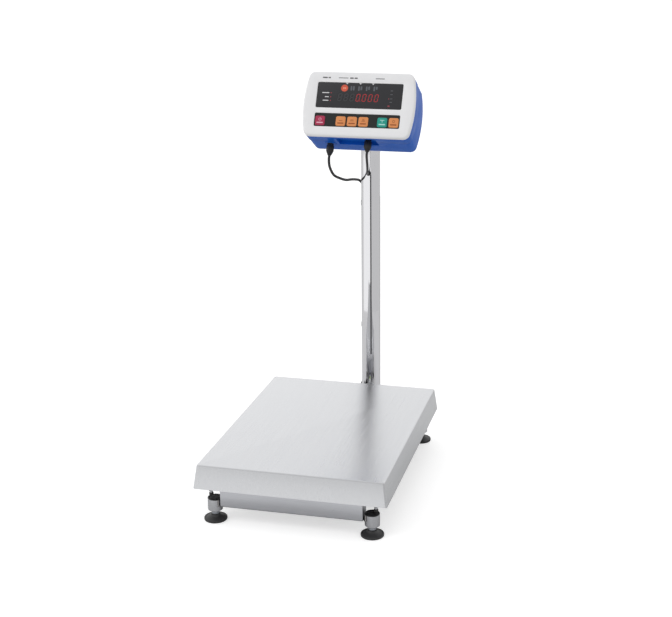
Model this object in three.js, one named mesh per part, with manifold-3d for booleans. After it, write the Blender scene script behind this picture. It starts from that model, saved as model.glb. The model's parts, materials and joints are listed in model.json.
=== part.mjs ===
// Floor-standing bench scale: a stainless weighing pan on a load cell and a welded base,
// with a round pole behind it that carries a tilting display head.
// Millimetres, +Z up, +Y to the back. The origin is on the floor, under the middle of the
// scale's length and width.

import * as THREE from 'three';
import { mergeVertices } from 'three/addons/utils/BufferGeometryUtils.js';
import Module from 'manifold-3d';

const wasm = await Module();
wasm.setup();

// ---------------------------------------------------------------- driving dimensions

// weighing pan: a folded sheet with a skirt that flares outwards
const PAN_WIDTH = 390; // over the skirt's lower edge
const PAN_DEPTH = 530;
const PAN_TOP = 122.5; // height above the floor
const PAN_SHEET = 1.5;
const SKIRT_HEIGHT = 48.5;
const SKIRT_FLARE = 6.5; // how far the lower edge stands out past the top
const PAN_CORNER = 4;

// the scale's length, from the pan's front skirt to the end of the rear beam
const POLE_SETBACK = 434; // pole's axis behind the pan's middle
const BEAM_PAST_POLE = 46;
const SCALE_LENGTH = PAN_DEPTH / 2 + POLE_SETBACK + BEAM_PAST_POLE;
const PAN_Y = (PAN_DEPTH - SCALE_LENGTH) / 2;
const POLE_Y = PAN_Y + POLE_SETBACK;
const REAR_END = SCALE_LENGTH / 2;

// levelling feet
const FOOT_X = 160;
const FOOT_FRONT_Y = PAN_Y - 237;
const FOOT_REAR_Y = PAN_Y + 246;
const PAD_RADIUS = 23;
const PAD_HEIGHT = 13;
const HUB_RADIUS = 9;
const STUD_RADIUS = 6; // M12
const SOCKET_RADIUS = 14.75;
const SOCKET_BOTTOM = 21.5;
const SOCKET_TOP = 46;
const CAP_THICKNESS = 2;

// welded base: two cross members, a channel for the load cell and a beam to the pole
const MEMBER_BOTTOM = 33.5;
const MEMBER_TOP = 74;
const MEMBER_DEPTH = 30;
const MEMBER_HALF_LENGTH = 147;
const MEMBER_WALL = 2;
const MEMBER_END = 4; // thickness of the plate that closes each end
const CHANNEL_WIDTH = 70;
const CHANNEL_WALL = 3;
const CELL_PAD = 4; // raised pads, so that only the load cell's ends bear
const BEAM_WIDTH = 50;
const BEAM_BOTTOM = 9.5;
const BEAM_FRONT = 40;
const BEAM_WALL = 2.5;
const CABLE_SLOT = { half: 8, y0: 50, y1: 104 }; // from the channel down into the beam
const CABLE_WAY_RADIUS = 14; // from the beam up into the pole

// load cell and the frame that it carries
const CELL_LENGTH = 150;
const CELL_SIZE = 38;
const CELL_BOLT_INSET = [12, 32]; // from the cell's end
const RAIL_TOP = 104;
const RAIL_WIDTH = 26;
const RAIL_HALF_LENGTH = 178;
const LUG_BOTTOM = 66;
const LUG_WIDTH = 14;
const STOP_BOTTOM = 51; // ends of the overload stops, just above the feet
const STOP_X = 167.5;
const STOP_RADIUS = 3;
const CUSHION_X = 165;
const CUSHION_RADIUS = 10;

// pole
const POLE_RADIUS = 22.25;
const POLE_WALL = 2;
const FLANGE_HALF_WIDTH = 25;
const FLANGE_HALF_LENGTH = 42;
const FLANGE_THICKNESS = 5;
const FLANGE_BOLT_Y = 33; // in front of the pole's axis and behind it
const SPIGOT_HEIGHT = 50;
const POLE_SCREW_Z = 66;
const POLE_TOP = 655;
const CABLE_HOLE_Z = 578.5; // where the load cell's cable leaves the pole
const GROMMET_RADIUS = 8;

// display head: its own axes start at the tilt pivot, with -Y out of its face
const PIVOT_Z = 690;
const HEAD_TILT = THREE.MathUtils.degToRad(27.4); // face leaning back from upright
const FACE_Y = -129.8; // face of the window and keys, in front of the pivot
const HEAD_HALF_WIDTH = 126;
const HEAD_HALF_HEIGHT = 74.25;
const HEAD_SIDE_RADIUS = 300; // the sides bow outwards
const HEAD_CORNER = 15;
const HEAD_DEPTH = 107;
const BEZEL_DEPTH = 10;
const BEZEL_PROUD = 0.8;
const HOUSING_STEP = 45; // depth at which the housing steps in
const HOUSING_INSET = 1;
const HOUSING_BEVEL = 5;
const SHELL = 3;
const POCKET = { x0: -48, x1: 42, front: 17, back: 62, deep: 9 };

// face of the head
const WINDOW = { width: 193, z0: -9.6, z1: 48.8 };
const KEY_STRIP = { width: 192, z0: -52.8, z1: -22.4 };
const PANEL_THICKNESS = 2;
const PANEL_GAP = 0.3;
const KEY_SIZE = 22;
const KEY_Z = -39.9;
const KEY_PROUD = 1.2;
const KEYS = [
  ['key_power', -82.9, 'red'],
  ['key_left', -36.0, 'orange'],
  ['key_middle', -10.5, 'orange'],
  ['key_right', 15.0, 'orange'],
  ['key_tare', 57.3, 'green'],
  ['key_zero', 82.9, 'orange'],
];

// tilt bracket
const EAR_INNER = 18;
const EAR_THICKNESS = 4;
const EAR_HALF_WIDTH = 15;
const LUG_GAP = 1;
const BRACKET_SHEET = 3;
const PIVOT_RADIUS = 4;
const KNOB_RADIUS = 15;
const KNOB_LENGTH = 16;

// cables
const CORD_RADIUS = 3;
const CELL_CABLE_RADIUS = 2.75;
const GLAND_RADIUS = 8.7;
const POWER_GLAND = { x: -68.5, depth: 57, length: 28 };
const CELL_GLAND = { x: 20, depth: 44, length: 28 };
const COIL_X = -100;
const COIL_Y = 213;
const COIL_MEAN_RADIUS = 33.3;
const COIL_BAND = 9.5; // half width of the ring of turns
const COIL_HEIGHT = 15;
const FACE_GAP = 0.3; // between a cable's end and what it enters

// ---------------------------------------------------------------- finishes

function finish(color, roughness, metalness) {
  return new THREE.MeshStandardMaterial({ color, roughness, metalness });
}

const brushedSteel = finish(0xc9cacc, 0.38, 1);
const polishedSteel = finish(0xe4e4e6, 0.1, 1);
const aluminium = finish(0xb9bcc0, 0.45, 1);
const boltSteel = finish(0xa8a9ab, 0.35, 1);
const rubber = finish(0x2b2b2b, 0.8, 0);
const blackPlastic = finish(0x1c1c1d, 0.5, 0);
const whiteAbs = finish(0xe7e7e7, 0.45, 0);
const blueAbs = finish(0x2a5ca8, 0.4, 0);
const smokedAcrylic = finish(0x3d3d40, 0.12, 0);
const keyColours = { red: finish(0xbe2850, 0.5, 0), orange: finish(0xf09650, 0.5, 0), green: finish(0x1eaa96, 0.5, 0) };
const circuitBoard = finish(0x1d5c3a, 0.6, 0);
const levelGreen = finish(0xb6d24a, 0.15, 0);

// ---------------------------------------------------------------- solids

// A geometry as a solid, with shared corners merged and empty triangles dropped.
function solid(geometry) {
  const bare = geometry.clone();
  bare.deleteAttribute('normal');
  bare.deleteAttribute('uv');
  const merged = mergeVertices(bare, 1e-3);
  const corners = [];
  for (let i = 0; i < merged.index.count; i += 3) {
    const [a, b, c] = [0, 1, 2].map((k) => merged.index.getX(i + k));
    if (a !== b && b !== c && c !== a) corners.push(a, b, c);
  }
  const make = (triVerts) => new wasm.Manifold(new wasm.Mesh({
    numProp: 3,
    vertProperties: new Float32Array(merged.attributes.position.array),
    triVerts: new Uint32Array(triVerts),
  }));
  const made = make(corners);
  return made.volume() > 0 ? made : make(corners.reverse());
}

function geometryOf(manifold) {
  const { vertProperties, triVerts } = manifold.getMesh();
  const geometry = new THREE.BufferGeometry();
  geometry.setAttribute('position', new THREE.BufferAttribute(vertProperties, 3));
  geometry.setIndex(new THREE.BufferAttribute(triVerts, 1));
  return geometry;
}

function join(...solids) {
  return solids.reduce((whole, next) => whole.add(next));
}

// A block between two corners.
function block([x0, y0, z0], [x1, y1, z1]) {
  const box = new THREE.BoxGeometry(x1 - x0, y1 - y0, z1 - z0);
  return solid(box.translate((x0 + x1) / 2, (y0 + y1) / 2, (z0 + z1) / 2));
}

// An upright round bar.
function bar(radius, x, y, z0, z1, sides = 24) {
  const cylinder = new THREE.CylinderGeometry(radius, radius, z1 - z0, sides);
  return solid(cylinder.rotateX(Math.PI / 2).translate(x, y, (z0 + z1) / 2));
}

// A round bar along X.
function barAlongX(radius, x0, x1, y, z, sides = 20) {
  const cylinder = new THREE.CylinderGeometry(radius, radius, x1 - x0, sides);
  return solid(cylinder.rotateZ(Math.PI / 2).translate((x0 + x1) / 2, y, z));
}

// A round bar along Y.
function barAlongY(radius, x, y0, y1, z, sides = 20) {
  const cylinder = new THREE.CylinderGeometry(radius, radius, y1 - y0, sides);
  return solid(cylinder.translate(x, (y0 + y1) / 2, z));
}

// A piece turned on an upright axis, from [radius, height] points that close on the axis or on themselves.
function turned(points, sides = 24) {
  const profile = points.map(([radius, height]) => new THREE.Vector2(radius, height));
  return solid(new THREE.LatheGeometry(profile, sides).rotateX(Math.PI / 2));
}

// An outline in X and Z, given thickness from y0 to y1.
function plate(shape, y0, y1, bevel = 0, curveSegments = 2) {
  const geometry = new THREE.ExtrudeGeometry(shape, {
    depth: y1 - y0 - 2 * bevel,
    curveSegments,
    bevelEnabled: bevel > 0,
    bevelThickness: bevel,
    bevelSize: bevel,
    bevelOffset: -bevel,
    bevelSegments: 1,
  });
  return solid(geometry.rotateX(Math.PI / 2).translate(0, y1 - bevel, 0));
}

function roundedRectangle(x0, z0, x1, z1, radius) {
  const shape = new THREE.Shape();
  shape.absarc(x1 - radius, z0 + radius, radius, -Math.PI / 2, 0);
  shape.absarc(x1 - radius, z1 - radius, radius, 0, Math.PI / 2);
  shape.absarc(x0 + radius, z1 - radius, radius, Math.PI / 2, Math.PI);
  shape.absarc(x0 + radius, z0 + radius, radius, Math.PI, Math.PI * 1.5);
  shape.closePath();
  return shape;
}

// A cable: a round section swept along a smooth curve through the points.
function cable(points, radius, steps) {
  const section = new THREE.Shape().absarc(0, 0, radius, 0, Math.PI * 2);
  const route = new THREE.CatmullRomCurve3(points.map((p) => new THREE.Vector3(...p)), false, 'centripetal');
  route.arcLengthDivisions = 600;
  return solid(new THREE.ExtrudeGeometry(section, { steps, curveSegments: 2, extrudePath: route }));
}

const scale = new THREE.Group();
const head = new THREE.Group();
head.position.set(0, POLE_Y, PIVOT_Z);
head.rotation.x = -HEAD_TILT;
scale.add(head);

function place(name, piece, material, parent = scale) {
  const mesh = new THREE.Mesh(geometryOf(piece), material);
  mesh.name = name;
  parent.add(mesh);
}

// ---------------------------------------------------------------- weighing pan

// A rounded rectangle that widens downwards by the skirt's flare.
function flared(width, depth, z0, z1, radius) {
  const shape = roundedRectangle(-width / 2, -depth / 2, width / 2, depth / 2, radius);
  const geometry = new THREE.ExtrudeGeometry(shape, { depth: z1 - z0, bevelEnabled: false, curveSegments: 3 });
  const place = geometry.attributes.position;
  const flare = (SKIRT_FLARE * (z1 - z0)) / SKIRT_HEIGHT;
  for (let i = 0; i < place.count; i += 1) {
    const high = place.getZ(i) > 0.5;
    const narrow = high ? flare : 0;
    place.setXY(i, place.getX(i) - Math.sign(place.getX(i)) * narrow, place.getY(i) - Math.sign(place.getY(i)) * narrow);
  }
  return solid(geometry.translate(0, PAN_Y, z0));
}

function weighingPan() {
  const low = PAN_TOP - SKIRT_HEIGHT;
  const outside = flared(PAN_WIDTH, PAN_DEPTH, low, PAN_TOP, PAN_CORNER);
  const inside = flared(PAN_WIDTH - 2 * PAN_SHEET, PAN_DEPTH - 2 * PAN_SHEET, low, PAN_TOP, PAN_CORNER - PAN_SHEET)
    .translate([0, 0, -PAN_SHEET]);
  const under = PAN_TOP - PAN_SHEET;
  const stiffeners = [-110, 110].map((y) => {
    const hat = block([-150, PAN_Y + y - 20, under - 10], [150, PAN_Y + y + 20, under + 0.5]);
    const hollow = block([-151, PAN_Y + y - 18.5, under - 8.5], [151, PAN_Y + y + 18.5, under]);
    return hat.subtract(hollow);
  });
  return join(outside.subtract(inside), ...stiffeners);
}

place('weighing_pan', weighingPan(), brushedSteel);

// ---------------------------------------------------------------- levelling feet

const FEET = [
  ['front_left', -FOOT_X, FOOT_FRONT_Y],
  ['front_right', FOOT_X, FOOT_FRONT_Y],
  ['rear_left', -FOOT_X, FOOT_REAR_Y],
  ['rear_right', FOOT_X, FOOT_REAR_Y],
];

// Moulded pad: a domed disc with a raised lip and a hub that takes the stud.
function footPad() {
  return turned([
    [0, 0], [PAD_RADIUS - 1.5, 0], [PAD_RADIUS, 1.5], [PAD_RADIUS, 4.5], [PAD_RADIUS - 3, 6.5],
    [HUB_RADIUS, 9], [HUB_RADIUS, PAD_HEIGHT], [0, PAD_HEIGHT],
  ]);
}

// Stud: a round shoulder on the pad, and an M12 thread that runs up into the socket.
function footStud() {
  const seat = PAD_HEIGHT + FACE_GAP;
  return turned([
    [0, seat], [HUB_RADIUS, seat], [HUB_RADIUS, SOCKET_BOTTOM], [STUD_RADIUS, SOCKET_BOTTOM],
    [STUD_RADIUS, SOCKET_TOP - 2], [0, SOCKET_TOP - 2],
  ], 20);
}

function footCap() {
  const top = SOCKET_TOP + CAP_THICKNESS;
  return turned([
    [0, SOCKET_TOP], [SOCKET_RADIUS, SOCKET_TOP], [SOCKET_RADIUS, top - 0.7], [SOCKET_RADIUS - 1.5, top], [0, top],
  ]);
}

for (const [corner, x, y] of FEET) {
  place(`foot_pad_${corner}`, footPad().translate([x, y, 0]), rubber);
  place(`foot_stud_${corner}`, footStud().translate([x, y, 0]), boltSteel);
  place(`foot_cap_${corner}`, footCap().translate([x, y, 0]), blackPlastic);
}

// ---------------------------------------------------------------- base

// Box tube with closed ends, coped round the socket for a foot that is welded to each end.
function crossMember(y) {
  const half = MEMBER_DEPTH / 2;
  const tube = block([-MEMBER_HALF_LENGTH, y - half, MEMBER_BOTTOM], [MEMBER_HALF_LENGTH, y + half, MEMBER_TOP]);
  const inner = MEMBER_HALF_LENGTH - MEMBER_END;
  const hollow = block(
    [-inner, y - half + MEMBER_WALL, MEMBER_BOTTOM + MEMBER_WALL],
    [inner, y + half - MEMBER_WALL, MEMBER_TOP - MEMBER_WALL],
  );
  const drain = bar(4, 90, y, MEMBER_BOTTOM - 1, MEMBER_BOTTOM + 5, 12);
  const copes = [-FOOT_X, FOOT_X].map((x) => bar(SOCKET_RADIUS + 0.4, x, y, SOCKET_TOP, MEMBER_TOP + 1, 24));
  const bores = [-FOOT_X, FOOT_X].map((x) => bar(STUD_RADIUS + 0.3, x, y, SOCKET_BOTTOM - 1, SOCKET_TOP + 1, 20));
  const sockets = [-FOOT_X, FOOT_X].map((x) => bar(SOCKET_RADIUS, x, y, SOCKET_BOTTOM, SOCKET_TOP, 24));
  return join(tube.subtract(join(...copes)), ...sockets).subtract(join(hollow, drain, ...bores));
}

// Folded channel, open at the top, with a pad for the load cell's fixed end.
function centreChannel() {
  const y0 = FOOT_FRONT_Y + MEMBER_DEPTH / 2;
  const y1 = FOOT_REAR_Y - MEMBER_DEPTH / 2;
  const half = CHANNEL_WIDTH / 2;
  const outside = block([-half, y0, MEMBER_BOTTOM], [half, y1, MEMBER_TOP]);
  const inside = block(
    [-half + CHANNEL_WALL, y0 - 1, MEMBER_BOTTOM + CELL_PAD],
    [half - CHANNEL_WALL, y1 + 1, MEMBER_TOP + 1],
  );
  const padTop = MEMBER_BOTTOM + 2 * CELL_PAD;
  const pad = block([-CELL_SIZE / 2, CELL_Y1 - 44, MEMBER_BOTTOM + 1], [CELL_SIZE / 2, CELL_Y1, padTop]);
  const bolts = CELL_BOLT_INSET.map((inset) => bar(4.3, 0, CELL_Y1 - inset, MEMBER_BOTTOM - 1, padTop + 1, 16));
  return join(outside.subtract(inside), pad).subtract(join(...bolts, cableSlot()));
}

// The slot that lets the load cell's cable down from the channel into the beam.
function cableSlot() {
  const { half, y0, y1 } = CABLE_SLOT;
  return block([-half, y0, MEMBER_BOTTOM - 5], [half, y1, MEMBER_BOTTOM + CELL_PAD + 1]);
}

// Low box tube welded under the channel and the rear member, that runs out to the pole.
function rearBeam() {
  const half = BEAM_WIDTH / 2;
  const outside = block([-half, BEAM_FRONT, BEAM_BOTTOM], [half, REAR_END, MEMBER_BOTTOM]);
  const inside = block(
    [-half + BEAM_WALL, BEAM_FRONT + BEAM_WALL, BEAM_BOTTOM + BEAM_WALL],
    [half - BEAM_WALL, REAR_END - BEAM_WALL, MEMBER_BOTTOM - BEAM_WALL],
  );
  const way = bar(CABLE_WAY_RADIUS, 0, POLE_Y, MEMBER_BOTTOM - 5, MEMBER_BOTTOM + 1, 24);
  const bolts = FLANGE_BOLTS.map((y) => bar(4.3, 0, y, MEMBER_BOTTOM - 5, MEMBER_BOTTOM + 1, 16));
  return outside.subtract(join(inside, way, cableSlot(), ...bolts));
}

// ---------------------------------------------------------------- load cell

const FLANGE_BOLTS = [POLE_Y - FLANGE_BOLT_Y, POLE_Y + FLANGE_BOLT_Y];
const CELL_Y0 = PAN_Y - CELL_LENGTH / 2;
const CELL_Y1 = PAN_Y + CELL_LENGTH / 2;
const CELL_BOTTOM = MEMBER_BOTTOM + 2 * CELL_PAD;
const CELL_TOP = CELL_BOTTOM + CELL_SIZE;

// Milled bar with the double bore that makes it bend evenly under load.
function loadCell() {
  const half = CELL_SIZE / 2;
  const middle = (CELL_BOTTOM + CELL_TOP) / 2;
  const bored = [-17, 17].map((y) => barAlongX(13, -half - 1, half + 1, PAN_Y + y, middle));
  const slot = block([-half - 1, PAN_Y - 17, middle - 5], [half + 1, PAN_Y + 17, middle + 5]);
  const lower = CELL_BOLT_INSET.map((inset) => bar(4.3, 0, CELL_Y1 - inset, CELL_BOTTOM - 1, CELL_BOTTOM + 16, 20));
  const upper = CELL_BOLT_INSET.map((inset) => bar(4.3, 0, CELL_Y0 + inset, CELL_TOP - 16, CELL_TOP + 1, 20));
  return block([-half, CELL_Y0, CELL_BOTTOM], [half, CELL_Y1, CELL_TOP])
    .subtract(join(...bored, slot, ...lower, ...upper));
}

// Socket-head screw, head at z, pointing up or down.
function cellBolt(headZ, tipZ, y) {
  const headHeight = Math.sign(headZ - tipZ) * 5;
  const shank = bar(4, 0, y, Math.min(headZ, tipZ), Math.max(headZ, tipZ), 20);
  const screwHead = bar(6.5, 0, y, Math.min(headZ, headZ + headHeight), Math.max(headZ, headZ + headHeight), 20);
  return join(shank, screwHead);
}

// I-shaped welded frame on the load cell's free end: a spine along Y and a rail over each pair of
// feet. Lugs under the rails' ends hold screws that stop on the feet if the scale is overloaded.
function panSupport() {
  const low = CELL_TOP + CELL_PAD;
  const pad = block([-CELL_SIZE / 2, CELL_Y0, CELL_TOP], [CELL_SIZE / 2, CELL_Y0 + 44, low + 1]);
  const spine = block([-32, FOOT_FRONT_Y, low], [32, FOOT_REAR_Y, RAIL_TOP]);
  const spineHollow = [[CELL_Y0 + 50, FOOT_REAR_Y - 20], [FOOT_FRONT_Y + 20, CELL_Y0 - 6]]
    .map(([y0, y1]) => block([-26, y0, low - 1], [26, y1, RAIL_TOP - 3]));
  const rails = [FOOT_FRONT_Y, FOOT_REAR_Y].map((y) => block(
    [-RAIL_HALF_LENGTH, y - RAIL_WIDTH / 2, low + 2],
    [RAIL_HALF_LENGTH, y + RAIL_WIDTH / 2, RAIL_TOP],
  ));
  const lugs = FEET.map(([, x, y]) => {
    const middle = Math.sign(x) * STOP_X;
    const lug = block([middle - LUG_WIDTH / 2, y - 9, LUG_BOTTOM], [middle + LUG_WIDTH / 2, y + 9, low + 3]);
    return join(lug, bar(STOP_RADIUS, middle, y, STOP_BOTTOM, LUG_BOTTOM + 1));
  });
  const sinks = CELL_BOLT_INSET.map((inset) => join(
    bar(4.3, 0, CELL_Y0 + inset, CELL_TOP - 1, RAIL_TOP + 1, 20),
    bar(7, 0, CELL_Y0 + inset, RAIL_TOP - 8, RAIL_TOP + 1, 20),
  ));
  return join(pad, spine, ...rails, ...lugs).subtract(join(...spineHollow, ...sinks));
}

// Rubber cushion with its moulded spigot in the rail.
function panCushion() {
  const top = PAN_TOP - PAN_SHEET;
  return turned([
    [0, RAIL_TOP], [CUSHION_RADIUS, RAIL_TOP], [CUSHION_RADIUS, top - 4], [CUSHION_RADIUS - 3, top], [0, top],
  ], 24);
}

place('front_cross_member', crossMember(FOOT_FRONT_Y), brushedSteel);
place('rear_cross_member', crossMember(FOOT_REAR_Y), brushedSteel);
place('centre_channel', centreChannel(), brushedSteel);
place('rear_beam', rearBeam(), brushedSteel);
place('load_cell', loadCell(), aluminium);
CELL_BOLT_INSET.forEach((inset, i) => {
  place(`load_cell_bolt_lower_${i + 1}`, cellBolt(MEMBER_BOTTOM, CELL_BOTTOM + 12, CELL_Y1 - inset), boltSteel);
  place(`load_cell_bolt_upper_${i + 1}`, cellBolt(RAIL_TOP - 8, CELL_TOP - 12, CELL_Y0 + inset), boltSteel);
});
place('pan_support', panSupport(), brushedSteel);
for (const [corner, x, y] of FEET) {
  place(`pan_cushion_${corner}`, panCushion().translate([Math.sign(x) * CUSHION_X, y, 0]), rubber);
}

// Round bubble level on the beam, behind the pan.
const LEVEL_Y = 205;
place('bubble_level', turned([
  [0, MEMBER_BOTTOM], [13, MEMBER_BOTTOM], [13, MEMBER_BOTTOM + 7], [11, MEMBER_BOTTOM + 8.5], [0, MEMBER_BOTTOM + 9.5],
], 24).translate([0, LEVEL_Y, 0]), levelGreen);

// ---------------------------------------------------------------- pole

const FLANGE_TOP = MEMBER_BOTTOM + FLANGE_THICKNESS;

// Flange on the beam, with a hollow spigot that the pole slides over.
function poleBase() {
  const [w, l] = [FLANGE_HALF_WIDTH, FLANGE_HALF_LENGTH];
  const outline = new THREE.ExtrudeGeometry(roundedRectangle(-w, -l, w, l, 6), {
    depth: FLANGE_THICKNESS, bevelEnabled: false, curveSegments: 3,
  });
  const flange = solid(outline.translate(0, POLE_Y, MEMBER_BOTTOM));
  const spigot = bar(POLE_RADIUS - POLE_WALL - FACE_GAP, 0, POLE_Y, FLANGE_TOP - 1, FLANGE_TOP + SPIGOT_HEIGHT, 28);
  const way = bar(CABLE_WAY_RADIUS, 0, POLE_Y, MEMBER_BOTTOM - 1, FLANGE_TOP + SPIGOT_HEIGHT + 1, 24);
  const bolts = FLANGE_BOLTS.map((y) => bar(4.3, 0, y, MEMBER_BOTTOM - 1, FLANGE_TOP + 1, 16));
  return join(flange, spigot).subtract(join(way, ...bolts, poleScrewHole()));
}

function poleScrewHole() {
  return barAlongY(3.3, 0, POLE_Y + CABLE_WAY_RADIUS - 2, POLE_Y + POLE_RADIUS + 2, POLE_SCREW_Z, 16);
}

function flangeBolt(y) {
  const hex = new THREE.CylinderGeometry(6.5, 6.5, 4.5, 6).rotateX(Math.PI / 2);
  return join(solid(hex.translate(0, y, FLANGE_TOP + 2.25)), bar(4, 0, y, MEMBER_BOTTOM - 5, FLANGE_TOP + 1, 16));
}

// Button-head screw that holds the pole on its spigot.
function poleScrew() {
  const seat = POLE_Y + POLE_RADIUS + FACE_GAP;
  return join(
    barAlongY(5, 0, seat, seat + 3, POLE_SCREW_Z, 20),
    barAlongY(3, 0, POLE_Y + CABLE_WAY_RADIUS + 1.5, seat + 1, POLE_SCREW_Z, 16),
  );
}

// Polished tube; the load cell's cable comes up inside and leaves by a hole at the front.
function pole() {
  const tube = bar(POLE_RADIUS, 0, POLE_Y, FLANGE_TOP, POLE_TOP, 36);
  const hollow = bar(POLE_RADIUS - POLE_WALL, 0, POLE_Y, FLANGE_TOP - 1, POLE_TOP + 1, 36);
  const hole = barAlongY(6, 0, POLE_Y - POLE_RADIUS - 2, POLE_Y, CABLE_HOLE_Z);
  return tube.subtract(join(hollow, hole, poleScrewHole()));
}

// Rubber grommet in the pole's cable hole, with its flange outside.
function poleGrommet() {
  const front = POLE_Y - POLE_RADIUS;
  const flange = barAlongY(GROMMET_RADIUS, 0, front - 2.5, front + 1, CABLE_HOLE_Z);
  const neck = barAlongY(5.7, 0, front - 1, front + POLE_WALL + 1, CABLE_HOLE_Z);
  const wall = bar(POLE_RADIUS + FACE_GAP, 0, POLE_Y, CABLE_HOLE_Z - 20, CABLE_HOLE_Z + 20, 36);
  const bore = barAlongY(CELL_CABLE_RADIUS + 1.2, 0, front - 6, front + 8, CABLE_HOLE_Z);
  return join(flange.subtract(wall), neck).subtract(bore);
}

// Plug in the top of the pole, with two ears that hold the tilt pivot.
function poleHead() {
  const capTop = POLE_TOP + 4;
  const plug = join(
    bar(POLE_RADIUS - POLE_WALL - FACE_GAP, 0, POLE_Y, POLE_TOP - 24, POLE_TOP + 1),
    bar(POLE_RADIUS, 0, POLE_Y, POLE_TOP, capTop, 36),
  );
  const ear = new THREE.Shape();
  ear.moveTo(-EAR_HALF_WIDTH, capTop - 1);
  ear.lineTo(EAR_HALF_WIDTH, capTop - 1);
  ear.absarc(0, PIVOT_Z, EAR_HALF_WIDTH, 0, Math.PI);
  ear.closePath();
  const ears = [-1, 1].map((side) => {
    const x = side > 0 ? EAR_INNER : -EAR_INNER - EAR_THICKNESS;
    const sheet = new THREE.ExtrudeGeometry(ear, { depth: EAR_THICKNESS, bevelEnabled: false, curveSegments: 6 });
    return solid(sheet.rotateX(Math.PI / 2).rotateZ(Math.PI / 2).translate(x, POLE_Y, 0));
  });
  return join(plug, ...ears).subtract(barAlongX(PIVOT_RADIUS + 0.3, -40, 40, POLE_Y, PIVOT_Z));
}

place('pole_base', poleBase(), brushedSteel);
FLANGE_BOLTS.forEach((y, i) => place(`pole_base_bolt_${i + 1}`, flangeBolt(y), boltSteel));
place('pole', pole(), polishedSteel);
place('pole_screw', poleScrew(), boltSteel);
place('pole_grommet', poleGrommet(), rubber);
place('pole_head', poleHead(), brushedSteel);

// ---------------------------------------------------------------- display head

// The head's outline, drawn inwards by inset: level top and bottom, bowed sides, round corners.
function headOutline(inset) {
  const halfHeight = HEAD_HALF_HEIGHT - inset;
  const sideRadius = HEAD_SIDE_RADIUS - inset;
  const corner = Math.max(HEAD_CORNER - inset, 2);
  const sideX = HEAD_HALF_WIDTH - HEAD_SIDE_RADIUS;
  const rise = halfHeight - corner;
  const cornerX = sideX + Math.sqrt((sideRadius - corner) ** 2 - rise ** 2);
  const turn = Math.asin(rise / (sideRadius - corner));
  const shape = new THREE.Shape();
  shape.absarc(cornerX, -rise, corner, -Math.PI / 2, -turn);
  shape.absarc(sideX, 0, sideRadius, -turn, turn);
  shape.absarc(cornerX, rise, corner, turn, Math.PI / 2);
  shape.absarc(-cornerX, rise, corner, Math.PI / 2, Math.PI - turn);
  shape.absarc(-sideX, 0, sideRadius, Math.PI - turn, Math.PI + turn);
  shape.absarc(-cornerX, -rise, corner, Math.PI + turn, Math.PI * 1.5);
  shape.closePath();
  return shape;
}

function panelOutline({ width, z0, z1 }, grow) {
  return roundedRectangle(-width / 2 - grow, z0 - grow, width / 2 + grow, z1 + grow, 3 + grow);
}

// Shallow white cover with a seat for the window and one for the key strip.
function frontBezel() {
  const front = FACE_Y - BEZEL_PROUD;
  const back = FACE_Y + BEZEL_DEPTH;
  const outside = plate(headOutline(0), front, back + 6, 3, 4).subtract(
    block([-140, back, -90], [140, back + 20, 90]),
  );
  const inside = plate(headOutline(SHELL), FACE_Y + SHELL + 1, back + 1, 0, 3);
  const seats = [WINDOW, KEY_STRIP].map((panel) => join(
    plate(panelOutline(panel, PANEL_GAP), front - 1, FACE_Y + PANEL_THICKNESS + PANEL_GAP),
    plate(panelOutline(panel, -1.5), front - 1, FACE_Y + 8),
  ));
  return outside.subtract(join(inside, ...seats));
}

// Deep blue shell, stepped in behind its rim, with a pocket underneath for the load cell's gland.
function rearHousing() {
  const front = FACE_Y + BEZEL_DEPTH + FACE_GAP;
  const back = FACE_Y + HEAD_DEPTH;
  const rim = plate(headOutline(0), front, FACE_Y + HOUSING_STEP, 0, 4);
  const body = plate(headOutline(HOUSING_INSET), front + 4, back, HOUSING_BEVEL, 4);
  const hollow = plate(headOutline(HOUSING_INSET + SHELL), front - 1, back - SHELL - 2, 0, 3);
  const bottom = -HEAD_HALF_HEIGHT;
  const y0 = FACE_Y + POCKET.front;
  const y1 = FACE_Y + POCKET.back;
  const pocket = block([POCKET.x0, y0, bottom - 1], [POCKET.x1, y1, bottom + POCKET.deep]);
  const pocketWall = block(
    [POCKET.x0 - SHELL, y0 - SHELL, bottom - 1],
    [POCKET.x1 + SHELL, y1 + SHELL, bottom + POCKET.deep + SHELL],
  );
  return join(rim, body).subtract(hollow.subtract(pocketWall)).subtract(pocket);
}

function keyStrip() {
  const strip = plate(panelOutline(KEY_STRIP, 0), FACE_Y, FACE_Y + PANEL_THICKNESS);
  const gap = KEY_SIZE / 2 + PANEL_GAP;
  const holes = KEYS.map(([, x]) => plate(
    roundedRectangle(x - gap, KEY_Z - gap, x + gap, KEY_Z + gap, 4 + PANEL_GAP),
    FACE_Y - 1,
    FACE_Y + PANEL_THICKNESS + 1,
  ));
  return strip.subtract(join(...holes));
}

function key(x) {
  const half = KEY_SIZE / 2;
  const cap = roundedRectangle(x - half, KEY_Z - half, x + half, KEY_Z + half, 4);
  return plate(cap, FACE_Y - KEY_PROUD, FACE_Y + 3.5, 0.6);
}

place('front_bezel', frontBezel(), whiteAbs, head);
place('rear_housing', rearHousing(), blueAbs, head);
place('display_window', plate(panelOutline(WINDOW, 0), FACE_Y, FACE_Y + PANEL_THICKNESS), smokedAcrylic, head);
place('key_panel', keyStrip(), smokedAcrylic, head);
for (const [name, x, colour] of KEYS) {
  place(name, key(x), keyColours[colour], head);
}

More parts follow.
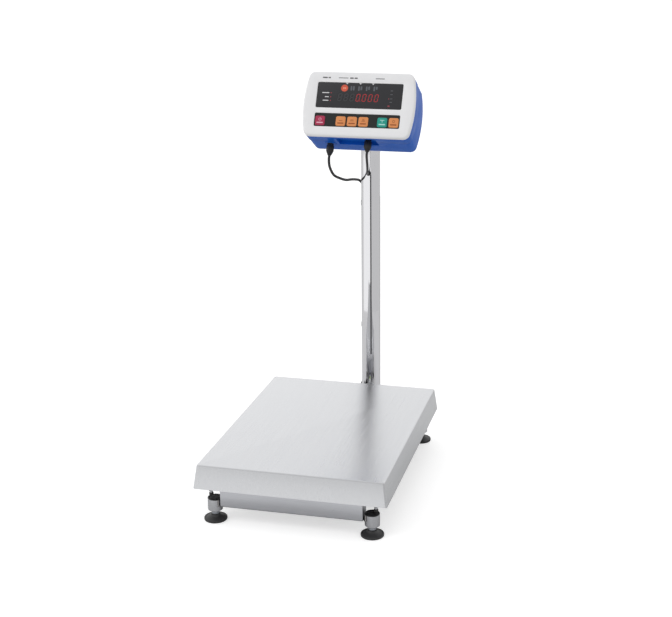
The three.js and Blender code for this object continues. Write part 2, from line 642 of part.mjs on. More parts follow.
// Main board with its transformer and connectors, and the board of seven-segment digits.
function mainBoard() {
  const y = FACE_Y + 34;
  const board = block([-100, y, -54], [100, y + 1.6, 56]);
  const transformer = block([-82, y + 1, 4], [-32, y + 38, 48]);
  const connector = block([4, y + 1, -50], [34, y + 10, -40]);
  const relay = block([50, y + 1, 10], [78, y + 16, 34]);
  return join(board, transformer, connector, relay);
}

function digitDisplay() {
  const y = FACE_Y + 9;
  const board = block([-60, y, -4], [62, y + 1.6, 44]);
  const digits = block([-12, y - 6, 2], [50, y + 1, 24]);
  return join(board, digits);
}

place('main_board', mainBoard(), circuitBoard, head);
place('digit_display', digitDisplay(), circuitBoard, head);

// Cable gland under the head: a dome nut that tapers to the cable.
function gland({ x, depth, length }, rise) {
  const seat = -HEAD_HALF_HEIGHT + HOUSING_INSET + rise - FACE_GAP;
  const nut = turned([
    [0, 0], [GLAND_RADIUS - 1.5, 0], [GLAND_RADIUS - 1.5, -5], [GLAND_RADIUS, -6.5],
    [GLAND_RADIUS, -0.62 * length], [GLAND_RADIUS - 2, -0.82 * length], [4.2, -length], [0, -length],
  ], 20);
  return nut.translate([x, FACE_Y + depth, seat]);
}

place('power_gland', gland(POWER_GLAND, 0), blackPlastic, head);
place('cell_gland', gland(CELL_GLAND, POCKET.deep - HOUSING_INSET), blackPlastic, head);

// Folded bracket screwed to the housing's back: two lugs outside the pole head's ears.
function headBracket() {
  const y0 = FACE_Y + HEAD_DEPTH + FACE_GAP;
  const back = plate(roundedRectangle(-46, -34, 46, 34, 5), y0, y0 + BRACKET_SHEET);
  const lug = new THREE.Shape();
  lug.moveTo(y0 + 1, -EAR_HALF_WIDTH);
  lug.lineTo(0, -EAR_HALF_WIDTH);
  lug.absarc(0, 0, EAR_HALF_WIDTH, -Math.PI / 2, Math.PI / 2);
  lug.lineTo(y0 + 1, EAR_HALF_WIDTH);
  lug.closePath();
  const inner = EAR_INNER + EAR_THICKNESS + LUG_GAP;
  const lugs = [-1, 1].map((side) => {
    const x = side > 0 ? inner : -inner - BRACKET_SHEET;
    const sheet = new THREE.ExtrudeGeometry(lug, { depth: BRACKET_SHEET, bevelEnabled: false, curveSegments: 6 });
    return solid(sheet.rotateX(Math.PI / 2).rotateZ(Math.PI / 2).translate(x, 0, 0));
  });
  return join(back, ...lugs).subtract(barAlongX(PIVOT_RADIUS + 0.3, -60, 60, 0, 0));
}

const LUG_OUTER = EAR_INNER + EAR_THICKNESS + LUG_GAP + BRACKET_SHEET;

// Knob with six finger scallops, bored for the end of the pivot bolt.
function tiltKnob(side) {
  const x0 = LUG_OUTER + FACE_GAP;
  const body = barAlongX(KNOB_RADIUS, x0, x0 + KNOB_LENGTH, 0, 0, 30);
  const scallops = Array.from({ length: 6 }, (_, i) => {
    const turn = (i * Math.PI) / 3;
    return barAlongX(5, x0 - 1, x0 + KNOB_LENGTH + 1, Math.cos(turn) * (KNOB_RADIUS + 2.5), Math.sin(turn) * (KNOB_RADIUS + 2.5), 16);
  });
  const bore = barAlongX(PIVOT_RADIUS + FACE_GAP, x0 - 1, x0 + 11, 0, 0);
  const knob = body.subtract(join(...scallops, bore));
  return side > 0 ? knob : knob.mirror([1, 0, 0]);
}

place('head_bracket', headBracket(), brushedSteel, head);
place('tilt_bolt', barAlongX(PIVOT_RADIUS, -LUG_OUTER - 9, LUG_OUTER + 9, 0, 0), boltSteel, head);
place('tilt_knob_left', tiltKnob(-1), blackPlastic, head);
place('tilt_knob_right', tiltKnob(1), blackPlastic, head);

// ---------------------------------------------------------------- cables

// A point of the head's own axes, on the scale's axes.
function fromHead(x, y, z) {
  const point = new THREE.Vector3(x, y, z).applyAxisAngle(new THREE.Vector3(1, 0, 0), -HEAD_TILT);
  return [point.x, point.y + POLE_Y, point.z + PIVOT_Z];
}

// Where a cable starts below its gland, and a second point straight out of it.
function leaving({ x, depth, length }, rise) {
  const tip = -HEAD_HALF_HEIGHT + HOUSING_INSET + rise - FACE_GAP - length;
  return [0.3, 9].map((past) => fromHead(x, FACE_Y + depth, tip - past));
}

// From its gland down and back into the pole, down inside it, along the beam and the channel to the cell.
const beamMiddle = (BEAM_BOTTOM + MEMBER_BOTTOM) / 2;
const channelFloor = MEMBER_BOTTOM + CELL_PAD;
const cellCableRoute = [
  ...leaving(CELL_GLAND, POCKET.deep - HOUSING_INSET),
  [19, 213, 616],
  [13, 240, 597],
  [6, 270, 585],
  [1, 290, 580],
  [0, 303, 578.5],
  [0, 311.5, 577.3],
  [0, 320, 570],
  [0, 325, 556],
  [0, POLE_Y, 540],
  [0, POLE_Y, 440],
  [0, POLE_Y, 330],
  [0, POLE_Y, 220],
  [0, POLE_Y, 110],
  [0, POLE_Y, 62],
  [0, POLE_Y - 2.5, 42],
  [0, POLE_Y - 12, 27.5],
  [0, POLE_Y - 34, beamMiddle],
  [0, 220, beamMiddle],
  [0, 140, beamMiddle],
  [0, 105, beamMiddle + 3],
  [0, 77, channelFloor - 3],
  [0, 48, channelFloor + 9],
  [0, 15, channelFloor + 15],
  [0, CELL_Y1 + FACE_GAP, channelFloor + 18],
];

// From its gland in a slack curve round the back of the pole, down to the floor, and along to the coil.
const cordRoute = [
  ...leaving(POWER_GLAND, 0),
  [-65.5, 208, 609],
  [-57.5, 218, 591.5],
  [-49.5, 238, 577.5],
  [-42, 262, 569.5],
  [-34.5, 288, 566],
  [-28.6, 310, 561.3],
  [-26.5, 326, 556.5],
  [-23, 338.5, 547],
  [-20.3, 345, 533.5],
  [-19, 346.5, 517],
  [-19, 346.5, 440],
  [-19, 346.5, 340],
  [-19, 346.5, 240],
  [-19, 346.5, 150],
  [-19, 346.5, 85],
  [-21.5, 346, 64],
  [-28, 343, 45],
  [-34, 337, 28],
  [-43, 325, 12],
  [-51, 308, 4.4],
  [-57, 286, 3.4],
  [COIL_X + COIL_MEAN_RADIUS + COIL_BAND - CORD_RADIUS, COIL_Y + 45, 3.4],
  [COIL_X + COIL_MEAN_RADIUS + COIL_BAND - CORD_RADIUS, COIL_Y + 24.5, 3.4],
];

// Saddle clip stuck to the pole, with an arm over the cord.
function cordClip(z) {
  const [x, y] = [-19, 346.5];
  const away = new THREE.Vector2(x, y - POLE_Y).normalize();
  const turn = Math.atan2(away.y, away.x);
  const reach = Math.hypot(x, y - POLE_Y);
  const base = block([POLE_RADIUS - 1.5, -8, z - 6], [reach + CORD_RADIUS + 1.8, 8, z + 6]);
  const pocket = bar(CORD_RADIUS + 2 * FACE_GAP, reach, 0, z - 7, z + 7, 20);
  const wall = bar(POLE_RADIUS + FACE_GAP, 0, 0, z - 8, z + 8, 36);
  return base.subtract(join(pocket, wall)).rotate([0, 0, THREE.MathUtils.radToDeg(turn)]).translate([0, POLE_Y, 0]);
}

// Two-pin mains plug, lying on the floor beside the coil.
function powerPlug() {
  const body = solid(new THREE.ExtrudeGeometry(roundedRectangle(-13, -19, 13, 19, 5), { depth: 17, bevelEnabled: false, curveSegments: 4 }));
  const neck = barAlongY(4.5, 0, -34, -18, 8.5);
  const pins = [-6.35, 6.35].map((x) => block([x - 0.75, 18, 5.3], [x + 0.75, 36, 11.7]));
  return join(body, neck, ...pins);
}

place('load_cell_cable', cable(cellCableRoute, CELL_CABLE_RADIUS, 72), rubber);
place('power_cord', cable(cordRoute, CORD_RADIUS, 64), rubber);
place('power_cord_coil', turned([
  [COIL_MEAN_RADIUS - COIL_BAND, 2], [COIL_MEAN_RADIUS - COIL_BAND + 2, 0], [COIL_MEAN_RADIUS + COIL_BAND - 2, 0],
  [COIL_MEAN_RADIUS + COIL_BAND, 2], [COIL_MEAN_RADIUS + COIL_BAND, COIL_HEIGHT - 4],
  [COIL_MEAN_RADIUS + COIL_BAND - 4, COIL_HEIGHT], [COIL_MEAN_RADIUS - COIL_BAND + 4, COIL_HEIGHT],
  [COIL_MEAN_RADIUS - COIL_BAND, COIL_HEIGHT - 4], [COIL_MEAN_RADIUS - COIL_BAND, 2],
], 28).translate([COIL_X, COIL_Y, 0]), rubber);
place('power_plug', powerPlug().translate([COIL_X - COIL_MEAN_RADIUS - COIL_BAND + CORD_RADIUS, COIL_Y + 72, 0]), blackPlastic);
place('cord_clip_upper', cordClip(500), blackPlastic);
place('cord_clip_lower', cordClip(200), blackPlastic);

export default scale;
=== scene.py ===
"""Bench scale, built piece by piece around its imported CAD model. Metres, +Z up, +Y to the back."""

import json
import math

import bmesh
import bpy
from mathutils import Matrix, Vector


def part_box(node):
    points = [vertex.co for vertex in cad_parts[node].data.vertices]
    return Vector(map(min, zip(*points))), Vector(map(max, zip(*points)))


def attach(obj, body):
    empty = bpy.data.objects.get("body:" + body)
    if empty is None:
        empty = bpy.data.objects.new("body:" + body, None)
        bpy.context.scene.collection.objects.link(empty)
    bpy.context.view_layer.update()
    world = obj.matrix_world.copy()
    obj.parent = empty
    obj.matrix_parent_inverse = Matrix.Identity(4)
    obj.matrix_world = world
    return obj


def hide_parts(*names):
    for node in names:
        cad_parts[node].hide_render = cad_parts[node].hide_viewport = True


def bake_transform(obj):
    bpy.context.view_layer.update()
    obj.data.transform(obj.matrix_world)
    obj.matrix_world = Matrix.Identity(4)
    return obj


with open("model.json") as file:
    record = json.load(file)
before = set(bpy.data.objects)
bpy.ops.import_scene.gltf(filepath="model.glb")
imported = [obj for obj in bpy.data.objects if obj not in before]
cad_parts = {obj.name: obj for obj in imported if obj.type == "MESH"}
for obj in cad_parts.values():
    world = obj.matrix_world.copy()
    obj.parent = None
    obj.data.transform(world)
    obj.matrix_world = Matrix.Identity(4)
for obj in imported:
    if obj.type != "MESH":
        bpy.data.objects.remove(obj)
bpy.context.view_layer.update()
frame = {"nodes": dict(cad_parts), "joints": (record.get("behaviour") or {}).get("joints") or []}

# ---------------------------------------------------------------- camera
# Stands in front of the scale and a little to its right, and looks down at it from chest height.

SENSOR_WIDTH = 36  # both in millimetres
FOCAL_LENGTH = 69.52
SIDE_SHIFT = -0.052  # part of the frame's width
CAMERA_AT = (0.6803, -2.5566, 1.1628)
CAMERA_TURN = 13.28  # degrees to the left of straight ahead
CAMERA_DOWN = 17.19
CAMERA_ROLL = -0.14

camera_data = bpy.data.cameras.new("camera")
camera_data.sensor_width = SENSOR_WIDTH
camera_data.lens = FOCAL_LENGTH
camera_data.shift_x = SIDE_SHIFT
camera = bpy.data.objects.new("camera", camera_data)
camera.matrix_world = (
    Matrix.Translation(CAMERA_AT)
    @ Matrix.Rotation(math.radians(CAMERA_TURN), 4, "Z")
    @ Matrix.Rotation(math.radians(90 - CAMERA_DOWN), 4, "X")
    @ Matrix.Rotation(math.radians(CAMERA_ROLL), 4, "Z")
)
bpy.context.scene.collection.objects.link(camera)
bpy.context.scene.camera = camera
bpy.context.scene.view_settings.view_transform = "Standard"

# ---------------------------------------------------------------- power cord
# Round mains lead, 6 mm across and 1.8 m long, in black PVC. It hangs in a slack curve from the display
# head, goes down behind the pole under two clips, and its spare length lies coiled behind the pan.

CORD_RADIUS = 0.003
CORD_ROUTE = [  # millimetres, from below the gland to the coil
    (-66.5, 209, 609), (-59.5, 218, 589), (-49.5, 238, 577.5), (-42, 262, 569.5), (-34.5, 288, 566),
    (-28.6, 310, 561.3), (-26.5, 326, 556.5), (-23, 338.5, 547), (-20.3, 345, 533.5), (-19, 346.5, 517),
    (-19, 346.5, 440), (-19, 346.5, 340), (-19, 346.5, 240), (-19, 346.5, 150), (-19, 346.5, 85),
    (-21.5, 346, 64), (-28, 343, 45), (-34, 337, 28), (-43, 325, 12), (-51, 308, 4.6), (-57, 286, 4),
    (-60.2, 258, 4), (-60.5, 236, 4),
]
COIL_OUTER = 0.0396  # radius of the widest turn and of the tightest
COIL_INNER = 0.027
COIL_LAYERS = (0.004, 0.0103)  # height of the lower turns and of the upper ones
COIL_TURNS = 4.5
COIL_STEPS = 28  # points for each turn


def hex_colour(code):
    """Linear colour of an sRGB hex value."""
    channels = [int(code[i : i + 2], 16) / 255 for i in (1, 3, 5)]
    return [c / 12.92 if c <= 0.04045 else ((c + 0.055) / 1.055) ** 2.4 for c in channels] + [1.0]


def add_node(tree, kind, values=(), links=(), **settings):
    """A node with its settings, its sockets' values and the sockets that feed it."""
    node = tree.nodes.new(kind)
    for name, value in settings.items():
        setattr(node, name, value)
    for socket, value in dict(values).items():
        node.inputs[socket].default_value = value
    for socket, source in dict(links).items():
        tree.links.new(source, node.inputs[socket])
    return node


def new_finish(name, colour, metallic=0.0, **shader_values):
    """An empty finish: its shader, and the place on the piece that its patterns start from."""
    material = bpy.data.materials.new(name)
    material.use_nodes = True
    tree = material.node_tree
    tree.nodes.clear()
    values = {"Base Color": hex_colour(colour), "Metallic": metallic}
    values.update({key.replace("_", " "): value for key, value in shader_values.items()})
    shader = add_node(tree, "ShaderNodeBsdfPrincipled", values)
    add_node(tree, "ShaderNodeOutputMaterial", links={"Surface": shader.outputs[0]})
    place = add_node(tree, "ShaderNodeTexCoord").outputs["Object"]
    return material, tree, shader, place


def mottle(tree, place, shader, colours, size, roughness):
    """Slow change of colour and roughness over the surface, in patches of the given size."""
    patches = add_node(
        tree, "ShaderNodeTexNoise", {"Scale": 1 / size, "Detail": 4.0, "Roughness": 0.6}, {"Vector": place}
    ).outputs[0]
    tint = add_node(
        tree,
        "ShaderNodeMix",
        {6: hex_colour(colours[0]), 7: hex_colour(colours[1])},
        {0: patches},
        data_type="RGBA",
    )
    gloss = add_node(
        tree,
        "ShaderNodeMapRange",
        {"From Min": 0.3, "From Max": 0.7, "To Min": roughness[0], "To Max": roughness[1]},
        {"Value": patches},
    )
    tree.links.new(tint.outputs[2], shader.inputs["Base Color"])
    tree.links.new(gloss.outputs[0], shader.inputs["Roughness"])


def raise_grain(tree, shader, height, depth):
    """Relief on the surface, in metres of depth."""
    bump = add_node(tree, "ShaderNodeBump", {"Strength": 1.0, "Distance": depth}, {"Height": height})
    tree.links.new(bump.outputs[0], shader.inputs["Normal"])


def moulded(name, colours, roughness, grain, depth, **shader_values):
    """Injection-moulded plastic or rubber: an even colour over a fine spark-eroded texture."""
    material, tree, shader, place = new_finish(name, colours[0], **shader_values)
    mottle(tree, place, shader, colours, 0.03, roughness)
    texture = add_node(
        tree, "ShaderNodeTexNoise", {"Scale": 1 / grain, "Detail": 3.0, "Roughness": 0.7}, {"Vector": place}
    )
    raise_grain(tree, shader, texture.outputs[0], depth)
    return material


def new_piece(name, bm, material, clean=True):
    """A finished piece from its faces: smooth except across edges sharper than 35 degrees."""
    if clean:
        bmesh.ops.recalc_face_normals(bm, faces=bm.faces)
    mesh = bpy.data.meshes.new(name)
    bm.to_mesh(mesh)
    bm.free()
    mesh.materials.append(material)
    mesh.shade_smooth()
    mesh.set_sharp_from_angle(angle=math.radians(35))
    piece = bpy.data.objects.new(name, mesh)
    bpy.context.scene.collection.objects.link(piece)
    return piece


def loft(bm, rings, cap_start=True, cap_end=True, around=False):
    """Faces between rings of points, with flat ends, or joined round from the last ring to the first."""
    rows = [[bm.verts.new(point) for point in ring] for ring in rings]
    pairs = list(zip(rows, rows[1:])) + ([(rows[-1], rows[0])] if around else [])
    for near, far in pairs:
        for i in range(len(near)):
            j = (i + 1) % len(near)
            bm.faces.new((near[i], near[j], far[j], far[i]))
    if cap_start and not around:
        bm.faces.new(rows[0][::-1])
    if cap_end and not around:
        bm.faces.new(rows[-1])
    return rows


def smooth_route(points, step):
    """A smooth curve through points, as points about a step apart."""
    knots = [Vector(p) for p in points]
    knots = [2 * knots[0] - knots[1], *knots, 2 * knots[-1] - knots[-2]]
    route = []
    for before, start, end, after in zip(knots, knots[1:], knots[2:], knots[3:]):
        gap = (end - start).length
        pull = [
            (end - before) / max((end - before).length, 1e-9) * gap,
            (after - start) / max((after - start).length, 1e-9) * gap,
        ]
        count = max(1, round(gap / step))
        for i in range(count):
            t = i / count
            route.append(
                (2 * t**3 - 3 * t**2 + 1) * start
                + (t**3 - 2 * t**2 + t) * pull[0]
                + (3 * t**2 - 2 * t**3) * end
                + (t**3 - t**2) * pull[1]
            )
    return route + [knots[-2]]


def tube(bm, route, radius, sides=20):
    """A round tube along a route, with its section carried along without twist."""
    forward = (route[1] - route[0]).normalized()
    side = forward.orthogonal().normalized()
    rings = []
    for i, point in enumerate(route):
        ahead = (route[min(i + 1, len(route) - 1)] - route[max(i - 1, 0)]).normalized()
        side = (side - side.dot(ahead) * ahead).normalized()
        up = ahead.cross(side)
        turns = [2 * math.pi * k / sides for k in range(sides)]
        rings.append([point + radius * (math.cos(a) * side + math.sin(a) * up) for a in turns])
    loft(bm, rings)


def coil_of_cord(centre):
    """Clockwise turns: inwards on the floor, up half a turn, and outwards on top. Ends on the far side."""
    points = []
    low, high = COIL_LAYERS
    for i in range(int(COIL_TURNS * COIL_STEPS) + 1):
        turns = i / COIL_STEPS
        across = COIL_OUTER - COIL_INNER
        inwards = COIL_OUTER - across * turns / 2
        radius = inwards if turns < 2 else COIL_INNER + across * max(turns - 2.5, 0) / 2
        rise = min(max((turns - 2) / 0.5, 0), 1)
        height = low + (high - low) * rise * rise * (3 - 2 * rise)
        angle = -2 * math.pi * turns
        points.append(centre + Vector((radius * math.cos(angle), radius * math.sin(angle), height)))
    return points


coil_low, coil_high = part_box("power_cord_coil")
plug_low, plug_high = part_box("power_plug")
tilt_joint = next(j for j in frame["joints"] if j["name"] == "display_tilt")
press = Vector(next(j for j in frame["joints"] if j["name"] == "key_power_press")["axis"])
pivot = Vector(tilt_joint["pos_m"])
head_tilt = math.atan2(-press.z, press.y)
head_axes = Matrix.Translation(pivot) @ Matrix.Rotation(-head_tilt, 4, "X")
FACE = -0.1298  # the display's face, in front of the pivot on the head's own axes
HEAD_HALF_HEIGHT = 0.07425
POWER_GLAND = Vector((-0.0685, FACE + 0.057, -HEAD_HALF_HEIGHT + 0.0007))
GLAND_LENGTH = 0.028

coil_centre = Vector(((coil_low.x + coil_high.x) / 2, (coil_low.y + coil_high.y) / 2, 0))
cord_exit = head_axes @ (POWER_GLAND - Vector((0, 0, GLAND_LENGTH + 0.0003)))
cord_route = smooth_route(
    [cord_exit, head_axes @ (POWER_GLAND - Vector((0, 0, GLAND_LENGTH + 0.009)))]
    + [Vector(p) / 1000 for p in CORD_ROUTE],
    0.005,
)
plug_neck = Vector(((plug_low.x + plug_high.x) / 2, plug_low.y, 0.0085))
tail = smooth_route(
    [
        coil_centre + Vector((-COIL_OUTER, 0, COIL_LAYERS[1])),
        Vector((plug_neck.x, coil_centre.y + 0.014, 0.0098)),
        Vector((plug_neck.x, coil_centre.y + 0.026, 0.0088)),
        plug_neck - Vector((0, 0.0003, 0)),
    ],
    0.003,
)
cord_path = cord_route + coil_of_cord(coil_centre) + tail[1:]

pvc_jacket = moulded("pvc_cable_jacket", ("#1d1c1e", "#262527"), (0.34, 0.46), 0.0012, 0.00002)
bm = bmesh.new()
tube(bm, cord_path, CORD_RADIUS)
power_cord = new_piece("mains_cord", bm, pvc_jacket, clean=False)
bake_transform(power_cord)
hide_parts("power_cord", "power_cord_coil")

# Tie round the coil: a loop of black hook-and-loop tape that holds the turns together.
TIE_WIDTH = 0.012
TIE_TAPE = 0.0007
TIE_BEND = 0.002
TIE_BOX = ((0.0236, 0.0008), (0.0428, 0.0008), (0.0428, 0.0139), (0.0236, 0.0139))  # (radius, height)


def settle(piece, body, slot, *nodes):
    """The piece rides on a body and stands for these nodes of the model. slot is not used."""
    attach(piece, body)
    if nodes:
        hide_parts(*nodes)


def tie_band(grow):
    """Rings of a strap round the coil's bundle of turns, at the side away from the plug."""
    rows = []
    for across in (-TIE_WIDTH / 2, TIE_WIDTH / 2):
        ring = []
        for (radius, height), (dx, dz) in zip(TIE_BOX, ((-1, -1), (1, -1), (1, 1), (-1, 1))):
            for k in range(5):
                bend = math.pi / 2 * (k / 4)
                start = math.atan2(dz, dx) - math.pi / 4
                r = radius - dx * TIE_BEND + (TIE_BEND + grow) * math.cos(start + bend)
                z = height - dz * TIE_BEND + (TIE_BEND + grow) * math.sin(start + bend)
                ring.append(coil_centre + Vector((across, -r, z)))
        rows.append(ring)
    return rows


bm = bmesh.new()
loft(bm, tie_band(0.0) + tie_band(-TIE_TAPE)[::-1], around=True)
loop_tape = moulded("woven_hook_and_loop_tape", ("#141416", "#232326"), (0.8, 0.95), 0.0006, 0.00025)
coil_tie = new_piece("cord_tie", bm, loop_tape)
settle(coil_tie, "base", "black_plastic")

# Two-pin mains plug, moulded in one piece on the end of the cord, with finger ribs and plated brass pins.
black_nylon = moulded("moulded_black_nylon", ("#1b1a1c", "#232224"), (0.38, 0.52), 0.0008, 0.00004)
plated_brass, tree, shader, place = new_finish("nickel_plated_brass", "#cfcac0", 1.0)
mottle(tree, place, shader, ("#cfcac0", "#b9b3a6"), 0.004, (0.18, 0.32))
PLUG_HEIGHT = 0.0085  # of its middle above the floor
PIN_OUT = 0.00635  # of each pin from the plug's middle


def round_rectangle(half_x, half_z, corner, steps=6):
    """Points round a rectangle with round corners, anticlockwise from its lower right corner."""
    points = []
    for quarter, (sx, sz) in enumerate(((1, -1), (1, 1), (-1, 1), (-1, -1))):
        for k in range(steps + 1):
            turn = math.pi / 2 * (quarter - 1 + k / steps)
            x = sx * (half_x - corner) + corner * math.cos(turn)
            points.append((x, sz * (half_z - corner) + corner * math.sin(turn)))
    return points


plug_centre = Vector(((plug_low.x + plug_high.x) / 2, plug_low.y + 0.034, PLUG_HEIGHT))
bm = bmesh.new()
plug_sections = [(-0.034, 0.0040, 0.0040), (-0.0335, 0.0045, 0.0045), (-0.0335 + 0.003, 0.0045, 0.0045)]
for rib in range(4):
    at = -0.030 + rib * 0.003
    plug_sections += [(at, 0.0044, 0.0044), (at + 0.0004, 0.0036, 0.0036), (at + 0.0014, 0.0036, 0.0036)]
    plug_sections += [(at + 0.0018, 0.0046, 0.0046)]
plug_sections += [(-0.0178, 0.0070, 0.0060), (-0.0150, 0.0105, 0.0078), (-0.0100, 0.0126, 0.0084)]
plug_sections += [(0.0168, 0.0129, 0.0084), (0.0184, 0.0124, 0.0080), (0.0189, 0.0112, 0.0070)]
rings = []
for along, half_x, half_z in sorted(plug_sections):
    outline = round_rectangle(half_x, half_z, min(half_x, half_z) * 0.7)
    rings.append([plug_centre + Vector((x, along, z)) for x, z in outline])
loft(bm, rings)
plug_body = new_piece("mains_plug_body", bm, black_nylon)
settle(plug_body, "base", "black_plastic", "power_plug")
bm = bmesh.new()
blade = round_rectangle(0.00072, 0.0031, 0.0003, 2)
for side in (-PIN_OUT, PIN_OUT):
    rings = []
    for along, shrink in ((0.0188, 1.0), (0.034, 1.0), (0.0355, 0.8), (0.036, 0.5)):
        rings.append([plug_centre + Vector((side + x, along, z * shrink)) for x, z in blade])
    loft(bm, rings)
plug_pins = new_piece("mains_plug_pins", bm, plated_brass)
settle(plug_pins, "base", "bolt_steel")

# ---------------------------------------------------------------- lead to the load cell
# Screened four-core lead, 5.5 mm across. It drops from its gland under the head, turns back through a
# grommet into the pole, and runs down inside the pole, along the beam and the channel to the load cell.

LEAD_RADIUS = 0.00275
LEAD_ROUTE = [
    (19, 213, 616), (13, 240, 597), (6, 270, 585), (1, 290, 580), (0, 303, 578.5), (0, 311.5, 577.3),
    (0, 320, 570), (0, 325, 556), (0, 326.5, 540), (0, 326.5, 440), (0, 326.5, 330), (0, 326.5, 220),
    (0, 326.5, 110), (0, 326.5, 62), (0, 324, 42), (0, 314.5, 27.5), (0, 292.5, 21.5), (0, 220, 21.5),
    (0, 140, 21.5), (0, 105, 24.5), (0, 77, 34.5), (0, 48, 46.5), (0, 15, 52.5), (0, -32.2, 55.5),
]
CELL_GLAND = Vector((0.020, FACE + 0.044, -HEAD_HALF_HEIGHT + 0.0087))

lead_exit = head_axes @ (CELL_GLAND - Vector((0, 0, GLAND_LENGTH + 0.0003)))
lead_path = smooth_route(
    [lead_exit, head_axes @ (CELL_GLAND - Vector((0, 0, GLAND_LENGTH + 0.009)))]
    + [Vector(p) / 1000 for p in LEAD_ROUTE],
    0.005,
)
bm = bmesh.new()
tube(bm, lead_path, LEAD_RADIUS)
cell_lead = new_piece("load_cell_lead", bm, pvc_jacket, clean=False)
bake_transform(cell_lead)
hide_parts("load_cell_cable")

# ---------------------------------------------------------------- weighing pan
# 1.5 mm stainless sheet, brushed along its length and folded down at all four sides into a flaring skirt,
# with its corners welded and ground round. Two folded stiffeners are welded under it. It lifts off.

PAN_SHEET = 0.0015
PAN_BEND = 0.003  # outside radius of the folds
PAN_CORNER = 0.004
SKIRT_FLARE = 0.0065
BRUSH_WIDTH = 0.0016  # drawn coarser than the 0.1 mm marks of a real satin finish, so that they show
BRUSH_LENGTH = 0.11


def brushed_steel(name, colours, roughness, grain, front_grain=None, depth=0.000002):
    """Satin stainless steel. grain is the size of its brush marks along X, Y and Z, here and on its front."""
    material, tree, shader, place = new_finish(name, colours[0], 1.0)
    scale = [1 / size for size in grain]
    marks_at = add_node(tree, "ShaderNodeVectorMath", {1: scale}, {0: place}, operation="MULTIPLY")
    if front_grain:
        normal = add_node(tree, "ShaderNodeTexCoord").outputs["Normal"]
        along_y = add_node(tree, "ShaderNodeSeparateXYZ", links={0: normal}).outputs[1]
        size = add_node(tree, "ShaderNodeMath", links={0: along_y}, operation="ABSOLUTE")
        front = add_node(tree, "ShaderNodeMath", {1: 0.7}, {0: size.outputs[0]}, operation="GREATER_THAN")
        front_scale = [1 / size for size in front_grain]
        pick = add_node(
            tree, "ShaderNodeMix", {4: scale, 5: front_scale}, {0: front.outputs[0]}, data_type="VECTOR"
        )
        tree.links.new(pick.outputs[1], marks_at.inputs[1])
    mottle(tree, marks_at.outputs[0], shader, colours, 1.0, roughness)
    marks = add_node(tree, "ShaderNodeTexNoise", {"Scale": 1, "Detail": 1.0}, {"Vector": marks_at.outputs[0]})
    raise_grain(tree, shader, marks.outputs[0], depth)
    return material


pan_low, pan_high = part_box("weighing_pan")
pan_middle = (pan_low + pan_high) / 2
pan_half = (pan_high - pan_low) / 2
skirt_height = pan_high.z - pan_low.z
lean = math.atan2(SKIRT_FLARE, skirt_height)


def pan_side(radius):
    """(inset, height) of the sheet's section, from the skirt's lower edge round the fold to the top."""
    bend_z = pan_high.z - PAN_BEND
    bend_inset = SKIRT_FLARE * (bend_z - pan_low.z) / skirt_height + PAN_BEND / math.cos(lean)
    turns = [lean + (math.pi / 2 - lean) * k / 6 for k in range(7)]
    fold = [(bend_inset - radius * math.cos(a), bend_z + radius * math.sin(a)) for a in turns]
    return [((PAN_BEND - radius) / math.cos(lean), pan_low.z), *fold]


def pan_ring(inset, height, corner):
    """Points round the pan at one height."""
    outline = round_rectangle(pan_half.x - inset, pan_half.y - inset, corner)
    return [Vector((x, pan_middle.y + y, height)) for x, y in outline]


satin_pan = brushed_steel(
    "satin_brushed_stainless",
    ("#d2d3d5", "#cbcccf"),
    (0.21, 0.28),
    (BRUSH_WIDTH, BRUSH_LENGTH, BRUSH_WIDTH),
    (BRUSH_WIDTH, BRUSH_WIDTH, BRUSH_LENGTH),
)
bm = bmesh.new()
inside = [pan_ring(*point, PAN_CORNER - PAN_SHEET) for point in pan_side(PAN_BEND - PAN_SHEET)]
outside = [pan_ring(*point, PAN_CORNER) for point in pan_side(PAN_BEND)]
loft(bm, inside[::-1] + outside)
settle(new_piece("pan_sheet", bm, satin_pan), "pan", "pan_steel", "weighing_pan")

# Stiffeners: hat sections of the same sheet, with spot-welded flanges, across the pan's underside.
HAT_SECTION = [(-0.020, 0), (-0.020, -0.0014), (-0.0125, -0.0014), (-0.0105, -0.010), (0.0105, -0.010)]
HAT_SECTION += [(0.0125, -0.0014), (0.020, -0.0014), (0.020, 0), (0.0114, 0), (0.0094, -0.0086)]
HAT_SECTION += [(-0.0094, -0.0086), (-0.0114, 0)]
under = pan_high.z - PAN_SHEET - 0.0001
bm = bmesh.new()
for hat_y in (-0.110, 0.110):
    loft(
        bm,
        [[Vector((x, pan_middle.y + hat_y + y, under + z)) for y, z in HAT_SECTION] for x in (-0.150, 0.150)],
    )
settle(new_piece("pan_stiffeners", bm, satin_pan), "pan", "pan_steel")

# ---------------------------------------------------------------- pan support
# Welded frame of stainless tube and flat on the load cell's free end: a spine, a rail over each pair of
# feet, and lugs with screws that stop on the feet if the scale is overloaded. Rubber buffers carry the pan.


def turned(bm, profile, place=None, sides=48, form=None):
    """A solid turned about Z from (radius, height) points. form(angle, radius) can change a radius."""
    place = place or Matrix()
    rings = []
    for radius, height in profile:
        ring = []
        for k in range(sides):
            a = 2 * math.pi * k / sides
            r = form(a, radius) if form else radius
            ring.append(place @ Vector((r * math.cos(a), r * math.sin(a), height)))
        rings.append(ring)
    loft(bm, rings)


FRAME_COLOURS = ("#bdbec2", "#b1b2b7")
frame_along_x = brushed_steel(
    "brushed_frame_steel_x", FRAME_COLOURS, (0.27, 0.36), (BRUSH_LENGTH, BRUSH_WIDTH, BRUSH_WIDTH)
)
frame_along_y = brushed_steel(
    "brushed_frame_steel_y", FRAME_COLOURS, (0.27, 0.36), (BRUSH_WIDTH, BRUSH_LENGTH, BRUSH_WIDTH)
)


